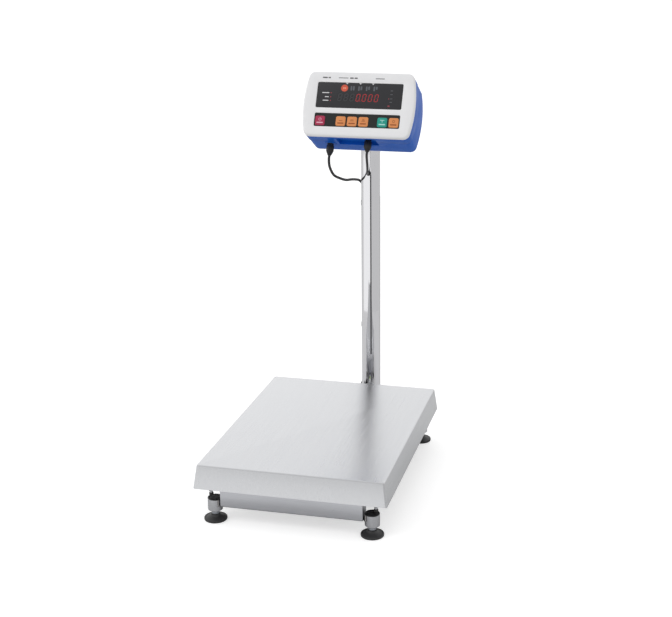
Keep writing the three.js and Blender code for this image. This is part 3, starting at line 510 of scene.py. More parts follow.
def repaint(node, material):
    """A node of the model keeps its shape and takes a better finish."""
    for surface in frame["nodes"][node].material_slots:
        surface.material = material


repaint("pan_support", frame_along_x)

foot_rubber = moulded("moulded_nitrile_rubber", ("#2b2a2a", "#343333"), (0.55, 0.72), 0.0009, 0.00006)
corners = ["front_left", "front_right", "rear_left", "rear_right"]
for corner in corners:
    low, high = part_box(f"pan_cushion_{corner}")
    centre = (low + high) / 2
    tall = high.z - low.z
    bm = bmesh.new()
    turned(
        bm,
        [(0.0088, 0), (0.0098, 0.0008), (0.010, 0.002), (0.010, 0.006), (0.0084, 0.0078), (0.0084, 0.0092),
         (0.010, 0.011), (0.0099, tall - 0.0040), (0.0086, tall - 0.0014), (0.0070, tall)],
        Matrix.Translation((centre.x, centre.y, low.z)),
    )
    settle(new_piece(f"pan_buffer_{corner}", bm, foot_rubber), "pan", "foot_rubber", f"pan_cushion_{corner}")


def bake(piece):
    """The piece's modifiers, worked into its mesh."""
    drawn = piece.evaluated_get(bpy.context.evaluated_depsgraph_get())
    mesh = bpy.data.meshes.new_from_object(drawn)
    piece.modifiers.clear()
    piece.data = mesh


def repeat_piece(name, shape, places, material):
    """One piece with a copy of a shape at each (point, direction that its Z axis takes)."""
    points = bpy.data.meshes.new(name)
    points.from_pydata([point for point, _ in places], [], [])
    facing = points.attributes.new("facing", "FLOAT_VECTOR", "POINT")
    for i, (_, direction) in enumerate(places):
        facing.data[i].vector = direction
    piece = bpy.data.objects.new(name, points)
    bpy.context.scene.collection.objects.link(piece)
    tree = bpy.data.node_groups.new(f"repeat_{name}", "GeometryNodeTree")
    sockets = {}
    for label, kind in (("Geometry", "Geometry"), ("Shape", "Object"), ("Finish", "Material")):
        sockets[label] = tree.interface.new_socket(label, in_out="INPUT", socket_type=f"NodeSocket{kind}")
    tree.interface.new_socket("Geometry", in_out="OUTPUT", socket_type="NodeSocketGeometry")
    given = add_node(tree, "NodeGroupInput")
    named = add_node(tree, "GeometryNodeInputNamedAttribute", {"Name": "facing"}, data_type="FLOAT_VECTOR")
    turn = add_node(
        tree, "FunctionNodeAlignRotationToVector", links={"Vector": named.outputs[0]}, axis="Z"
    )
    look = add_node(tree, "GeometryNodeObjectInfo", {"As Instance": True}, {"Object": given.outputs["Shape"]})
    copies = add_node(
        tree,
        "GeometryNodeInstanceOnPoints",
        links={
            "Points": given.outputs["Geometry"],
            "Instance": look.outputs["Geometry"],
            "Rotation": turn.outputs[0],
        },
    )
    joined = add_node(tree, "GeometryNodeRealizeInstances", links={"Geometry": copies.outputs[0]})
    dressed = add_node(
        tree,
        "GeometryNodeSetMaterial",
        links={"Geometry": joined.outputs[0], "Material": given.outputs["Finish"]},
    )
    add_node(tree, "NodeGroupOutput", links={0: dressed.outputs[0]})
    modifier = piece.modifiers.new("copies", "NODES")
    modifier.node_group = tree
    modifier[sockets["Shape"].identifier] = shape
    modifier[sockets["Finish"].identifier] = material
    bake(piece)
    bpy.data.objects.remove(shape)
    return piece


def hexagon(across_flats):
    """Radius of a hexagon at each angle."""
    return lambda a: across_flats / 2 / math.cos((a % (math.pi / 3)) - math.pi / 6)


def socket_screw(name, head_radius, head_height, key_size, material):
    """Head of a socket screw: domed, with a hexagonal recess for the key. It stands on the XY plane."""
    recess = hexagon(key_size)
    across = key_size / 2
    bm = bmesh.new()
    turned(
        bm,
        [(head_radius, 0), (head_radius, head_height * 0.45), (head_radius * 0.93, head_height * 0.75),
         (head_radius * 0.8, head_height), (key_size * 0.61, head_height), (across, head_height * 0.95),
         (across, head_height * 0.35)],
        form=lambda a, r: recess(a) if r <= key_size * 0.501 else r,
    )
    return new_piece(name, bm, material)


plated_steel = brushed_steel(
    "zinc_plated_steel", ("#b9bcc2", "#a2a7ae"), (0.24, 0.38), (0.004, 0.004, 0.004), depth=0.00002
)
black_steel = brushed_steel(
    "blackened_steel", ("#2b2b2e", "#1d1d20"), (0.34, 0.46), (0.003, 0.003, 0.003), depth=0.00002
)
STOP_X = 0.1675  # of each overload stop from the middle
stop_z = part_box("pan_support")[0].z - 0.0001
stop_ends = []
for corner in corners:
    low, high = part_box(f"foot_cap_{corner}")
    side = -1 if corner.endswith("left") else 1
    stop_ends.append(((side * STOP_X, (low.y + high.y) / 2, stop_z), (0, 0, 1)))
bm = bmesh.new()
turned(
    bm,
    [(0.0030, 0), (0.0038, 0.0002), (0.0044, 0.0010), (0.0044, 0.0052), (0.0040, 0.0058), (0.0030, 0.0060)],
    sides=36,
)
stop_tip = new_piece("stop_tip", bm, foot_rubber)
settle(repeat_piece("overload_stop_tips", stop_tip, stop_ends, foot_rubber), "pan", "foot_rubber")
lock_nut = hexagon(0.010)
bm = bmesh.new()
turned(
    bm,
    [(0.0040, 0.0105), (0.0046, 0.0105), (0.0049, 0.0110), (0.0049, 0.0146), (0.0046, 0.0150)],
    sides=48,
    form=lambda a, r: min(r * 1.16, lock_nut(a)) if r > 0.0041 else r,
)
stop_nut = new_piece("stop_nut", bm, black_steel)
settle(repeat_piece("overload_stop_nuts", stop_nut, stop_ends, black_steel), "pan", "bolt_steel")

# ---------------------------------------------------------------- load cell
# Single-point load cell: a milled bar of clear-anodised aluminium with a double bore, bolted to the base at
# its rear end and to the pan's support at its front end by socket-head screws.

cell_alloy = brushed_steel(
    "clear_anodised_aluminium", ("#b4b8bd", "#a8adb3"), (0.36, 0.48), (0.0006, 0.02, 0.0006), depth=0.00001
)
repaint("load_cell", cell_alloy)
for end in ("lower", "upper"):
    for i in (1, 2):
        repaint(f"load_cell_bolt_{end}_{i}", plated_steel)

# ---------------------------------------------------------------- welded base
# Brushed stainless steel: two cross members of box tube with a turned socket welded to each end, a folded
# channel between them for the load cell, and a low box beam welded under it that runs back to the pole.

MEMBER_CORNER = 0.0035
MEMBER_END_GAP = 0.0022  # the box tube stops short of the socket, and the weld fills the gap
SOCKET_RADIUS = 0.01475
SOCKET_BOTTOM = 0.0215
SOCKET_TOP = 0.046
BEAD_RADIUS = 0.0018


def weld_bead(bm, route, radius):
    """A weld: a rounded bead with the ripples of its pool along a route."""
    points = smooth_route(route, 0.0006)
    side = Vector((0, 0, 1))
    rings = []
    for i, point in enumerate(points):
        ahead = (points[min(i + 1, len(points) - 1)] - points[max(i - 1, 0)]).normalized()
        steep = abs(side.dot(ahead)) >= 0.99
        side = ahead.orthogonal() if steep else (side - side.dot(ahead) * ahead).normalized()
        up = ahead.cross(side)
        ripple = 1 + 0.10 * math.sin(i * 2.1)
        size = radius * ripple * (0.55 if i in (0, len(points) - 1) else 1)
        turns = [math.pi / 5 * k for k in range(10)]
        rings.append([point + size * (math.cos(a) * side + math.sin(a) * up) for a in turns])
    loft(bm, rings)


weld_steel = brushed_steel(
    "tig_weld_steel", ("#a9a49c", "#8f9097"), (0.3, 0.42), (0.002, 0.002, 0.002), depth=0.00003
)
socket_steel = brushed_steel(
    "turned_socket_steel", ("#c3c4c7", "#b6b7bb"), (0.2, 0.3), (0.02, 0.02, 0.0004), depth=0.000005
)
for end in ("front", "rear"):
    low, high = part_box(f"{end}_cross_member")
    y = (low.y + high.y) / 2
    half_depth = (high.y - low.y) / 2
    cap_low, cap_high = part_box(f"foot_cap_{end}_right")
    foot_x = (cap_low.x + cap_high.x) / 2
    tube_bottom = high.z - 0.0405
    reach = foot_x - SOCKET_RADIUS - MEMBER_END_GAP / 2
    section = round_rectangle(half_depth, (high.z - tube_bottom) / 2, MEMBER_CORNER)
    middle_z = (high.z + tube_bottom) / 2
    bm = bmesh.new()
    loft(
        bm,
        [
            [Vector((x, y + a * shrink, middle_z + b * shrink)) for a, b in section]
            for x, shrink in ((-reach, 0.97), (-reach + 0.0006, 1), (reach - 0.0006, 1), (reach, 0.97))
        ],
    )
    member = new_piece(f"{end}_member_tube", bm, frame_along_x)
    settle(member, "base", "frame_steel", f"{end}_cross_member")
    bm = bmesh.new()
    beads = bmesh.new()
    for sx in (-1, 1):
        tall = SOCKET_TOP - SOCKET_BOTTOM
        turned(
            bm,
            [(0.0068, 0), (SOCKET_RADIUS - 0.0008, 0), (SOCKET_RADIUS, 0.0008),
             (SOCKET_RADIUS, tall - 0.0005), (SOCKET_RADIUS - 0.0005, tall), (0.0068, tall)],
            Matrix.Translation((sx * foot_x, y, SOCKET_BOTTOM)),
            96,
        )
        meet = sx * (foot_x - SOCKET_RADIUS - 0.0001)
        cheek = 0.0115
        back_off = sx * 0.0042
        weld_bead(
            beads,
            [
                (meet + back_off, y - cheek, SOCKET_TOP + 0.001),
                (meet + back_off, y - cheek, 0.040),
                (meet + back_off * 0.9, y - cheek, tube_bottom + 0.001),
                (meet + back_off * 0.3, y - cheek * 0.6, tube_bottom - 0.0004),
                (meet, y, tube_bottom - 0.0004),
                (meet + back_off * 0.3, y + cheek * 0.6, tube_bottom - 0.0004),
                (meet + back_off * 0.9, y + cheek, tube_bottom + 0.001),
                (meet + back_off, y + cheek, 0.040),
                (meet + back_off, y + cheek, SOCKET_TOP + 0.001),
            ],
            BEAD_RADIUS,
        )
    settle(new_piece(f"{end}_foot_sockets", bm, socket_steel), "base", "frame_steel")
    settle(new_piece(f"{end}_socket_welds", beads, weld_steel), "base", "frame_steel")
for node in ("centre_channel", "rear_beam"):
    repaint(node, frame_along_y)

# Welds that join the channel to both members and the beam to the channel.
channel_low, channel_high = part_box("centre_channel")
beam_low, beam_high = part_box("rear_beam")
beads = bmesh.new()
for x in (channel_low.x, channel_high.x):
    for y in (channel_low.y - 0.0002, channel_high.y + 0.0002):
        weld_bead(beads, [(x, y, channel_low.z + 0.004 + 0.008 * k) for k in range(5)], 0.0015)
for x in (beam_low.x, beam_high.x):
    for start in range(3):
        first = beam_low.y + 0.004 + 0.035 * start
        weld_bead(beads, [(x, first + 0.006 * k, beam_high.z - 0.0006) for k in range(4)], 0.0014)
settle(new_piece("frame_welds", beads, weld_steel), "base", "frame_steel")

# ---------------------------------------------------------------- levelling feet
# Each is a moulded rubber-faced pad on an M12 stud of plated steel that screws up into its socket. A black
# plug closes the socket's top. Turning the stud raises or lowers that corner.

PAD_RADIUS = 0.023
THREAD_RADIUS = 0.0059
THREAD_PITCH = 0.00175

pad_nylon = moulded("moulded_pad_nylon", ("#2d2d2e", "#383839"), (0.42, 0.56), 0.0007, 0.00004)
for corner in corners:
    low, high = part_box(f"foot_pad_{corner}")
    stud_low, stud_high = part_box(f"foot_stud_{corner}")
    cap_low, cap_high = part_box(f"foot_cap_{corner}")
    x, y = (cap_low.x + cap_high.x) / 2, (cap_low.y + cap_high.y) / 2
    bm = bmesh.new()
    turned(
        bm,
        [(0.0195, 0), (PAD_RADIUS - 0.0008, 0), (PAD_RADIUS - 0.0001, 0.0009), (PAD_RADIUS, 0.0020),
         (PAD_RADIUS - 0.0004, 0.0024), (PAD_RADIUS - 0.0004, 0.0030), (PAD_RADIUS, 0.0034),
         (PAD_RADIUS, 0.0042), (PAD_RADIUS - 0.0006, 0.0052), (PAD_RADIUS - 0.0022, 0.0056),
         (PAD_RADIUS - 0.0030, 0.0050),
         (0.0165, 0.0062), (0.0120, 0.0080), (0.0098, 0.0096), (0.0090, 0.0112), (0.0088, 0.0124),
         (0.0080, high.z)],
        Matrix.Translation((x, y, 0)),
        72,
    )
    settle(new_piece(f"pad_{corner}", bm, pad_nylon), f"foot_{corner}", "foot_rubber", f"foot_pad_{corner}")
    bm = bmesh.new()
    shoulder = hexagon(0.0155)
    neck = SOCKET_BOTTOM - stud_low.z
    turned(
        bm,
        [(0.0072, 0), (0.0079, 0.0006), (0.0079, neck - 0.0028), (0.0072, neck - 0.0020),
         (0.0060, neck - 0.0018), (0.0058, neck)],
        Matrix.Translation((x, y, stud_low.z)),
        60,
        lambda a, r: min(max(r, 0.0070), shoulder(a)) if r > 0.0065 else r,
    )
    rows = []
    tall = stud_high.z - SOCKET_BOTTOM
    count = round(tall / (THREAD_PITCH / 4))
    for i in range(count + 1):
        height = SOCKET_BOTTOM + tall * i / count
        ring = []
        for k in range(24):
            phase = (height / THREAD_PITCH - k / 24) % 1
            r = THREAD_RADIUS - 0.0009 * (1 - abs(2 * phase - 1))
            a = 2 * math.pi * k / 24
            ring.append(Vector((x + r * math.cos(a), y + r * math.sin(a), height)))
        rows.append(ring)
    loft(bm, rows)
    stud = new_piece(f"stud_{corner}_thread", bm, plated_steel)
    settle(stud, f"stud_{corner}", "bolt_steel", f"foot_stud_{corner}")
    bm = bmesh.new()
    thick = cap_high.z - cap_low.z
    turned(
        bm,
        [(SOCKET_RADIUS - 0.0003, 0), (SOCKET_RADIUS, 0.0002), (SOCKET_RADIUS, thick - 0.0008),
         (SOCKET_RADIUS - 0.0009, thick), (0.0118, thick), (0.0112, thick - 0.0007), (0.0104, thick - 0.0007),
         (0.0098, thick - 0.0001), (0.003, thick - 0.0001)],
        Matrix.Translation((x, y, cap_low.z)),
        72,
    )
    settle(new_piece(f"socket_plug_{corner}", bm, black_nylon), "base", "black_plastic", f"foot_cap_{corner}")

# ---------------------------------------------------------------- bubble level
# Round spirit level behind the pan: an acrylic cup of green-yellow fluid with a printed circle and a bubble.

level_low, level_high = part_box("bubble_level")
level_centre = (level_low + level_high) / 2
fluid, tree, shader, place = new_finish("spirit_level_fluid", "#b6d24a", Roughness=0.08, Coat_Weight=0.6)
flat = add_node(tree, "ShaderNodeVectorMath", {1: (1, 1, 0)}, {0: place}, operation="MULTIPLY")
away = add_node(
    tree,
    "ShaderNodeVectorMath",
    {1: (level_centre.x, level_centre.y, 0)},
    {0: flat.outputs[0]},
    operation="DISTANCE",
)
LEVEL_REACH = 1 / 60  # radius at the ramp's end
LEVEL_RINGS = (  # radius where each colour starts: bubble, its edge, fluid, printed circle, fluid, rim
    (0.0, "#dfe9a0"), (0.0032, "#6f8420"), (0.0036, "#b6d24a"), (0.0058, "#20260c"), (0.0063, "#a9c63f"),
    (0.0108, "#e8e9e6"),
)
scaled = add_node(tree, "ShaderNodeMath", {1: LEVEL_REACH}, {0: away.outputs["Value"]}, operation="DIVIDE")
dial = add_node(tree, "ShaderNodeValToRGB", links={0: scaled.outputs[0]})
dial.color_ramp.interpolation = "CONSTANT"
bands = dial.color_ramp.elements
while len(bands) < len(LEVEL_RINGS):
    bands.new(0.5)
for band, (radius, colour) in zip(bands, LEVEL_RINGS):
    band.position = radius / LEVEL_REACH
    band.color = hex_colour(colour)
tree.links.new(dial.outputs[0], shader.inputs["Base Color"])
repaint("bubble_level", fluid)

# ---------------------------------------------------------------- pole
# Polished stainless tube, 44.5 mm across, that slides over a spigot on its flange and is held by one screw.
# A rubber grommet lines the hole where the load cell's lead comes out, and two clips hold the mains cord.

repaint("pole_base", frame_along_y)
for i in (1, 2):
    repaint(f"pole_base_bolt_{i}", plated_steel)
repaint("pole_screw", plated_steel)
pole_low, pole_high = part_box("pole")
pole_x, pole_y = (pole_low.x + pole_high.x) / 2, (pole_low.y + pole_high.y) / 2
POLE_RADIUS = 0.02225
POLE_WALL = 0.002
POLE_SIDES = 160
polished_tube = brushed_steel(
    "polished_stainless_tube", ("#e9e9eb", "#e2e2e5"), (0.035, 0.07), (0.0012, 0.0012, 0.3), depth=0.0000012
)
bm = bmesh.new()
tube_section = [
    (POLE_RADIUS - 0.0004, pole_low.z), (POLE_RADIUS, pole_low.z + 0.0004),
    (POLE_RADIUS, pole_high.z - 0.0004), (POLE_RADIUS - 0.0004, pole_high.z),
    (POLE_RADIUS - POLE_WALL, pole_high.z), (POLE_RADIUS - POLE_WALL, pole_low.z),
]
rings = []
for r, z in tube_section:
    turns = [2 * math.pi * k / POLE_SIDES for k in range(POLE_SIDES)]
    rings.append([Vector((pole_x + r * math.cos(a), pole_y + r * math.sin(a), z)) for a in turns])
loft(bm, rings, around=True)
settle(new_piece("pole_tube", bm, polished_tube), "base", "pole_steel", "pole")

grommet_low, grommet_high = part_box("pole_grommet")
grommet_z = (grommet_low.z + grommet_high.z) / 2
grommet_face = Matrix.Translation((pole_x, grommet_low.y, grommet_z))
grommet_face @= Matrix.Rotation(-math.pi / 2, 4, "X")
grommet_rubber = moulded("soft_grommet_rubber", ("#1c1c1d", "#272728"), (0.5, 0.65), 0.0008, 0.00003)
bm = bmesh.new()
grommet_section = [(0.0029, 0.0006), (0.0033, 0), (0.0046, 0), (0.0056, 0.0006), (0.0060, 0.0014)]
grommet_section += [(0.0060, 0.0036), (0.0050, 0.0036), (0.0050, 0.0055), (0.0029, 0.0055)]
rings = []
for radius, depth in grommet_section:
    ring = []
    for k in range(48):
        a = 2 * math.pi * k / 48
        sideways = radius * math.cos(a)
        wrap = POLE_RADIUS - math.sqrt(POLE_RADIUS**2 - sideways**2)
        ring.append(grommet_face @ Vector((sideways, radius * math.sin(a), depth + wrap * (depth > 0.001))))
    rings.append(ring)
loft(bm, rings, around=True)
settle(new_piece("cable_grommet", bm, grommet_rubber), "base", "grommet_rubber", "pole_grommet")
for clip in ("cord_clip_upper", "cord_clip_lower"):
    repaint(clip, black_nylon)

# ---------------------------------------------------------------- tilting bracket
# Plug with two ears in the top of the pole, and a folded bracket on the head that hangs on them by one bolt.
# A scalloped knob on each end of the bolt clamps the tilt.

KNOB_RADIUS = 0.015
KNOB_SCALLOPS = 6
SCALLOP_RADIUS = 0.005
SCALLOP_OUT = 0.0025  # how far each scallop's centre lies outside the knob

for node in ("pole_head", "head_bracket"):
    repaint(node, frame_along_x)
repaint("tilt_bolt", plated_steel)


def scalloped(angle, radius):
    """Radius of a knob with finger scallops round its rim."""
    step = 2 * math.pi / KNOB_SCALLOPS
    off = (angle + step / 2) % step - step / 2
    distance = KNOB_RADIUS + SCALLOP_OUT
    across = distance * math.sin(off)
    if abs(across) >= SCALLOP_RADIUS or radius < 0.011:
        return radius
    return min(radius, distance * math.cos(off) - math.sqrt(SCALLOP_RADIUS**2 - across**2))


for side in ("left", "right"):
    low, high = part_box(f"tilt_knob_{side}")
    inner_x, outer_x = (high.x, low.x) if side == "left" else (low.x, high.x)
    long = abs(outer_x - inner_x)
    turn = Matrix.Rotation(math.pi / 2 if outer_x > inner_x else -math.pi / 2, 4, "Y")
    bm = bmesh.new()
    turned(
        bm,
        [(0.0062, 0), (0.0070, 0.0006), (0.0072, 0.0030), (0.0142, 0.0042), (KNOB_RADIUS, 0.0052),
         (KNOB_RADIUS, long - 0.0022), (0.0146, long - 0.0010), (0.0134, long - 0.0002), (0.0105, long),
         (0.0100, long - 0.0008), (0.0040, long - 0.0008)],
        Matrix.Translation((inner_x, pivot.y, pivot.z)) @ turn,
        120,
        scalloped,
    )
    knob = new_piece(f"knob_{side}_grip", bm, black_nylon)
    settle(knob, f"knob_{side}", "black_plastic", f"tilt_knob_{side}")

# ---------------------------------------------------------------- display head: front cover
# Shallow cover of grey-white ABS with a broad rounded edge, moulded with a seat for the window and another
# for the key strip. Everything on the head is drawn on its own axes: X right, Y back, Z up its face.

HEAD_HALF_WIDTH = 0.126
HEAD_BOW = 0.300  # radius of the bowed sides
HEAD_CORNER = 0.015
COVER_PROUD = 0.0008
COVER_DEPTH = 0.010
COVER_EDGE = 0.005
COVER_WALL = 0.003
WINDOW = (0.193, -0.0096, 0.0488)  # width, bottom, top
KEY_STRIP = (0.192, -0.0528, -0.0224)
POCKET = (-0.048, 0.042, 0.017, 0.062, 0.009)  # left, right, front, back, depth


def arc(cx, cz, radius, start, end, steps, last=False):
    """Points on an arc, without its last one unless asked for."""
    turns = [start + (end - start) * k / steps for k in range(steps + last)]
    return [(cx + radius * math.cos(a), cz + radius * math.sin(a)) for a in turns]


def head_outline(inset):
    """The head's outline, drawn inwards: level top and bottom, bowed sides and round corners."""
    corner = max(HEAD_CORNER - inset, 0.002)
    rise = HEAD_HALF_HEIGHT - inset - corner
    reach = HEAD_BOW - inset - corner
    side_x = HEAD_HALF_WIDTH - HEAD_BOW
    corner_x = side_x + math.sqrt(reach**2 - rise**2)
    turn = math.asin(rise / reach)
    quarter, half = math.pi / 2, math.pi
    bow = HEAD_BOW - inset
    return (
        arc(corner_x, -rise, corner, -quarter, -turn, 8)
        + arc(side_x, 0, bow, -turn, turn, 16)
        + arc(corner_x, rise, corner, turn, quarter, 8, True)
        + arc(-corner_x, rise, corner, quarter, half - turn, 8)
        + arc(-side_x, 0, bow, half - turn, half + turn, 16)
        + arc(-corner_x, -rise, corner, half + turn, half + quarter, 8, True)
        + [(POCKET[0], inset - HEAD_HALF_HEIGHT), (POCKET[1], inset - HEAD_HALF_HEIGHT)]
    )


def panel_outline(panel, grow, corner=0.003):
    """Outline of a panel of (width, bottom, top), with round corners."""
    width, bottom, top = panel
    outline = round_rectangle(width / 2 + grow, (top - bottom) / 2 + grow, corner + grow, 5)
    return [(x, z + (top + bottom) / 2) for x, z in outline]


def at_depth(outline, y):
    """An outline on the head's face, as points at one depth."""
    return [Vector((x, y, z)) for x, z in outline]


def fill_flat(bm, rows):
    """Flat faces between closed rows of points that lie in one plane."""
    edges = []
    for row in rows:
        for a, b in zip(row, row[1:] + row[:1]):
            edges.append(bm.edges.get((a, b)) or bm.edges.new((a, b)))
    bmesh.ops.triangle_fill(bm, use_beauty=True, use_dissolve=False, edges=edges)


def head_piece(name, bm, material, body, slot, *nodes):
    """A piece drawn on the head's axes, put in its place."""
    bm.transform(head_axes)
    piece = new_piece(name, bm, material)
    settle(piece, body, slot, *nodes)
    return piece


cover_abs = moulded("grey_white_moulded_abs", ("#eeeeef", "#e8e8ea"), (0.34, 0.46), 0.0007, 0.00002)
front = FACE - COVER_PROUD
edge_turns = [math.pi / 2 * k / 7 for k in range(8)]
bm = bmesh.new()
outer = [at_depth(head_outline(0), FACE + COVER_DEPTH)]
for a in edge_turns:
    inset = COVER_EDGE * (1 - math.cos(a))
    outer.append(at_depth(head_outline(inset), front + COVER_EDGE * (1 - math.sin(a))))
outer_rows = loft(bm, outer, False, False)
inner = [at_depth(head_outline(COVER_WALL), y) for y in (FACE + COVER_DEPTH, FACE + 0.004)]
inner_rows = loft(bm, inner, False, False)
count = len(outer_rows[0])
for i in range(count):
    j = (i + 1) % count
    bm.faces.new((outer_rows[0][i], outer_rows[0][j], inner_rows[0][j], inner_rows[0][i]))
SEAT_SECTION = (  # (outside the panel, depth) from the front's rounded edge to the open back
    (0.0008, front), (0.0004, front + 0.00015), (0.0003, front + 0.0005), (0.0003, FACE + 0.0023),
    (-0.0015, FACE + 0.0023), (-0.0015, FACE + 0.004),
)
seats = []
for panel in (WINDOW, KEY_STRIP):
    rings = [at_depth(panel_outline(panel, grow), y) for grow, y in SEAT_SECTION]
    seats.append(loft(bm, rings, False, False))
fill_flat(bm, [outer_rows[-1]] + [rows[0] for rows in seats])
fill_flat(bm, [inner_rows[-1]] + [rows[-1] for rows in seats])
head_piece("front_cover", bm, cover_abs, "head", "bezel_white", "front_bezel")


def inlay(bm, outline, y, thickness=0.00006):
    """A thin printed or moulded mark on the head's face, whose back lies at y."""
    loft(bm, [at_depth(outline, y), at_depth(outline, y - thickness)])


def box_mark(x0, z0, x1, z1, corner=0.0004):
    """Outline of a small bar with round ends."""
    corner = min(corner, (x1 - x0) / 2.1, (z1 - z0) / 2.1)
    outline = round_rectangle((x1 - x0) / 2, (z1 - z0) / 2, corner, 3)
    return [(x + (x0 + x1) / 2, z + (z0 + z1) / 2) for x, z in outline]


def disc_mark(x, z, radius, sides=28):
    """Outline of a small disc."""
    return arc(x, z, radius, 0, 2 * math.pi, sides)


def ink(name, colour, **shader_values):
    """Screen-printed ink: slightly uneven in tone and gloss."""
    material, tree, shader, place = new_finish(name, colour, **shader_values)
    r, g, b, _ = hex_colour(colour)
    worn = (r * 0.86, g * 0.86, b * 0.86, 1)
    grains = add_node(tree, "ShaderNodeTexNoise", {"Scale": 1 / 0.0008, "Detail": 3.0}, {"Vector": place})
    tint = add_node(
        tree, "ShaderNodeMix", {6: worn, 7: (r, g, b, 1)}, {0: grains.outputs[0]}, data_type="RGBA"
    )
    tree.links.new(tint.outputs[2], shader.inputs["Base Color"])
    raise_grain(tree, shader, grains.outputs[0], 0.00001)
    return material


# Printed bars along the cover's top edge, where such a scale carries its ratings. They say nothing.
print_z = 0.0594
bm = bmesh.new()
for x0, x1, tall in (
    (-0.0870, -0.0760, 0.0030), (-0.0740, -0.0690, 0.0030), (-0.0510, -0.0290, 0.0016),
    (-0.0250, -0.0170, 0.0030), (-0.0150, -0.0080, 0.0030), (0.0330, 0.0530, 0.0018),
):
    inlay(bm, box_mark(x0, print_z - tall / 2, x1, print_z + tall / 2), front - 0.00001)
head_piece("cover_print", bm, ink("dark_grey_print", "#5d5d61", Roughness=0.5), "head", "strip_dark")

# ---------------------------------------------------------------- display head: rear housing
# Deep shell of blue ABS that closes on the cover at a fine joint. It steps in at a shadow groove, and has a
# moulded pocket underneath for the load cell's gland. Screws hold the shell and the bracket from behind.

HOUSING_DEPTH = 0.107
HOUSING_STEP = 0.045
HOUSING_INSET = 0.001
HOUSING_BEVEL = 0.005

housing_abs = moulded(
    "blue_moulded_abs", ("#0f60c8", "#0c58b8"), (0.32, 0.42), 0.0008, 0.00003, Specular_IOR_Level=0.15
)
joint_y = FACE + COVER_DEPTH + 0.0003
groove_y = FACE + HOUSING_STEP
back_y = FACE + HOUSING_DEPTH
housing_section = [
    (joint_y, 0.0012), (joint_y, 0.0007), (joint_y + 0.0006, 0.0001), (joint_y + 0.0012, 0.0),
    (FACE + POCKET[2], 0.0), (groove_y - 0.0034, 0.0), (groove_y - 0.0028, 0.0004),
    (groove_y - 0.0022, 0.0022), (groove_y - 0.0004, 0.0022), (groove_y, HOUSING_INSET),
    (FACE + POCKET[3], HOUSING_INSET), (back_y - HOUSING_BEVEL, HOUSING_INSET),
]
for a in edge_turns[1:]:
    inset = HOUSING_INSET + HOUSING_BEVEL * (1 - math.cos(a))
    housing_section.append((back_y - HOUSING_BEVEL * (1 - math.sin(a)), inset))
bm = bmesh.new()
housing_rows = loft(bm, [at_depth(head_outline(inset), y) for y, inset in housing_section])
pocket_front, pocket_back = FACE + POCKET[2], FACE + POCKET[3]
pocket_rows = [row for row, (y, _) in zip(housing_rows, housing_section) if pocket_front <= y <= pocket_back]
left, right = len(pocket_rows[0]) - 2, len(pocket_rows[0]) - 1
opened = []
for near, far in zip(pocket_rows, pocket_rows[1:]):
    opened.append(bm.faces.get((near[left], near[right], far[right], far[left])))
bmesh.ops.delete(bm, geom=opened, context="FACES")
roof_z = POCKET[4] - HEAD_HALF_HEIGHT
mouth = [row[left] for row in pocket_rows] + [row[right] for row in pocket_rows[::-1]]
roof = [bm.verts.new((v.co.x, v.co.y, roof_z)) for v in mouth]
for i, low_vert in enumerate(mouth):
    j = (i + 1) % len(mouth)
    bm.faces.new((low_vert, mouth[j], roof[j], roof[i]))
bm.faces.new(roof)
# A boss surrounds the power cord's gland.
boss = Matrix.Translation((POWER_GLAND.x, POWER_GLAND.y, -HEAD_HALF_HEIGHT - 0.0003))
turned(bm, [(0.0125, 0), (0.0132, 0.0006), (0.0132, 0.004), (0.010, 0.004)], boss, 64)
head_piece("rear_shell", bm, housing_abs, "head", "housing_blue", "rear_housing")

case_screw = socket_screw("case_screw", 0.0036, 0.0022, 0.0025, plated_steel)
back_dir = head_axes.to_3x3() @ Vector((0, 1, 0))
screws = []
for out_x, out_z, y in ((0.104, 0.054, back_y + 0.0001), (0.038, 0.026, back_y + 0.0034)):
    for sx in (-1, 1):
        for sz in (-1, 1):
            screws.append((head_axes @ Vector((sx * out_x, y, sz * out_z)), back_dir))
settle(repeat_piece("case_screws", case_screw, screws, plated_steel), "head", "bolt_steel")


def nut_flutes(angle, radius):
    """Twelve shallow grip flutes round the widest part of a gland."""
    return radius - 0.00035 * (0.5 - 0.5 * math.cos(12 * angle)) if radius > 0.0083 else radius


for name, centre in (("power_gland", POWER_GLAND), ("cell_gland", CELL_GLAND)):
    low_end = -GLAND_LENGTH
    profile = [(0.0072, 0), (0.0072, -0.0046), (0.0080, -0.0052), (0.0087, -0.0064), (0.0087, 0.62 * low_end)]
    profile += [(0.0084, 0.66 * low_end), (0.0079, 0.70 * low_end)]
    for step in range(3):
        at = (0.74 + 0.07 * step) * low_end
        wide = 0.0072 - 0.0009 * step
        groove = wide - 0.0007
        profile += [(wide, at), (wide, at - 0.0010), (groove, at - 0.0011), (groove, at - 0.0016)]
    profile += [(0.0046, 0.96 * low_end), (0.0042, low_end)]
    bm = bmesh.new()
    turned(bm, profile, Matrix.Translation(centre), 72, nut_flutes)
    head_piece(f"{name}_nut", bm, black_nylon, "head", "black_plastic", name)

# ---------------------------------------------------------------- display head: window
# Plate of smoked acrylic. Behind it show red seven-segment digits, a lit lamp, dark lamps and printed marks.

smoked, tree, shader, place = new_finish("smoked_acrylic", "#232325", Roughness=0.1)
mottle(tree, place, shader, ("#2a2a2e", "#242427"), 0.05, (0.09, 0.15))
haze = add_node(tree, "ShaderNodeTexNoise", {"Scale": 1 / 0.03, "Detail": 1.0}, {"Vector": place})
raise_grain(tree, shader, haze.outputs[0], 0.00003)


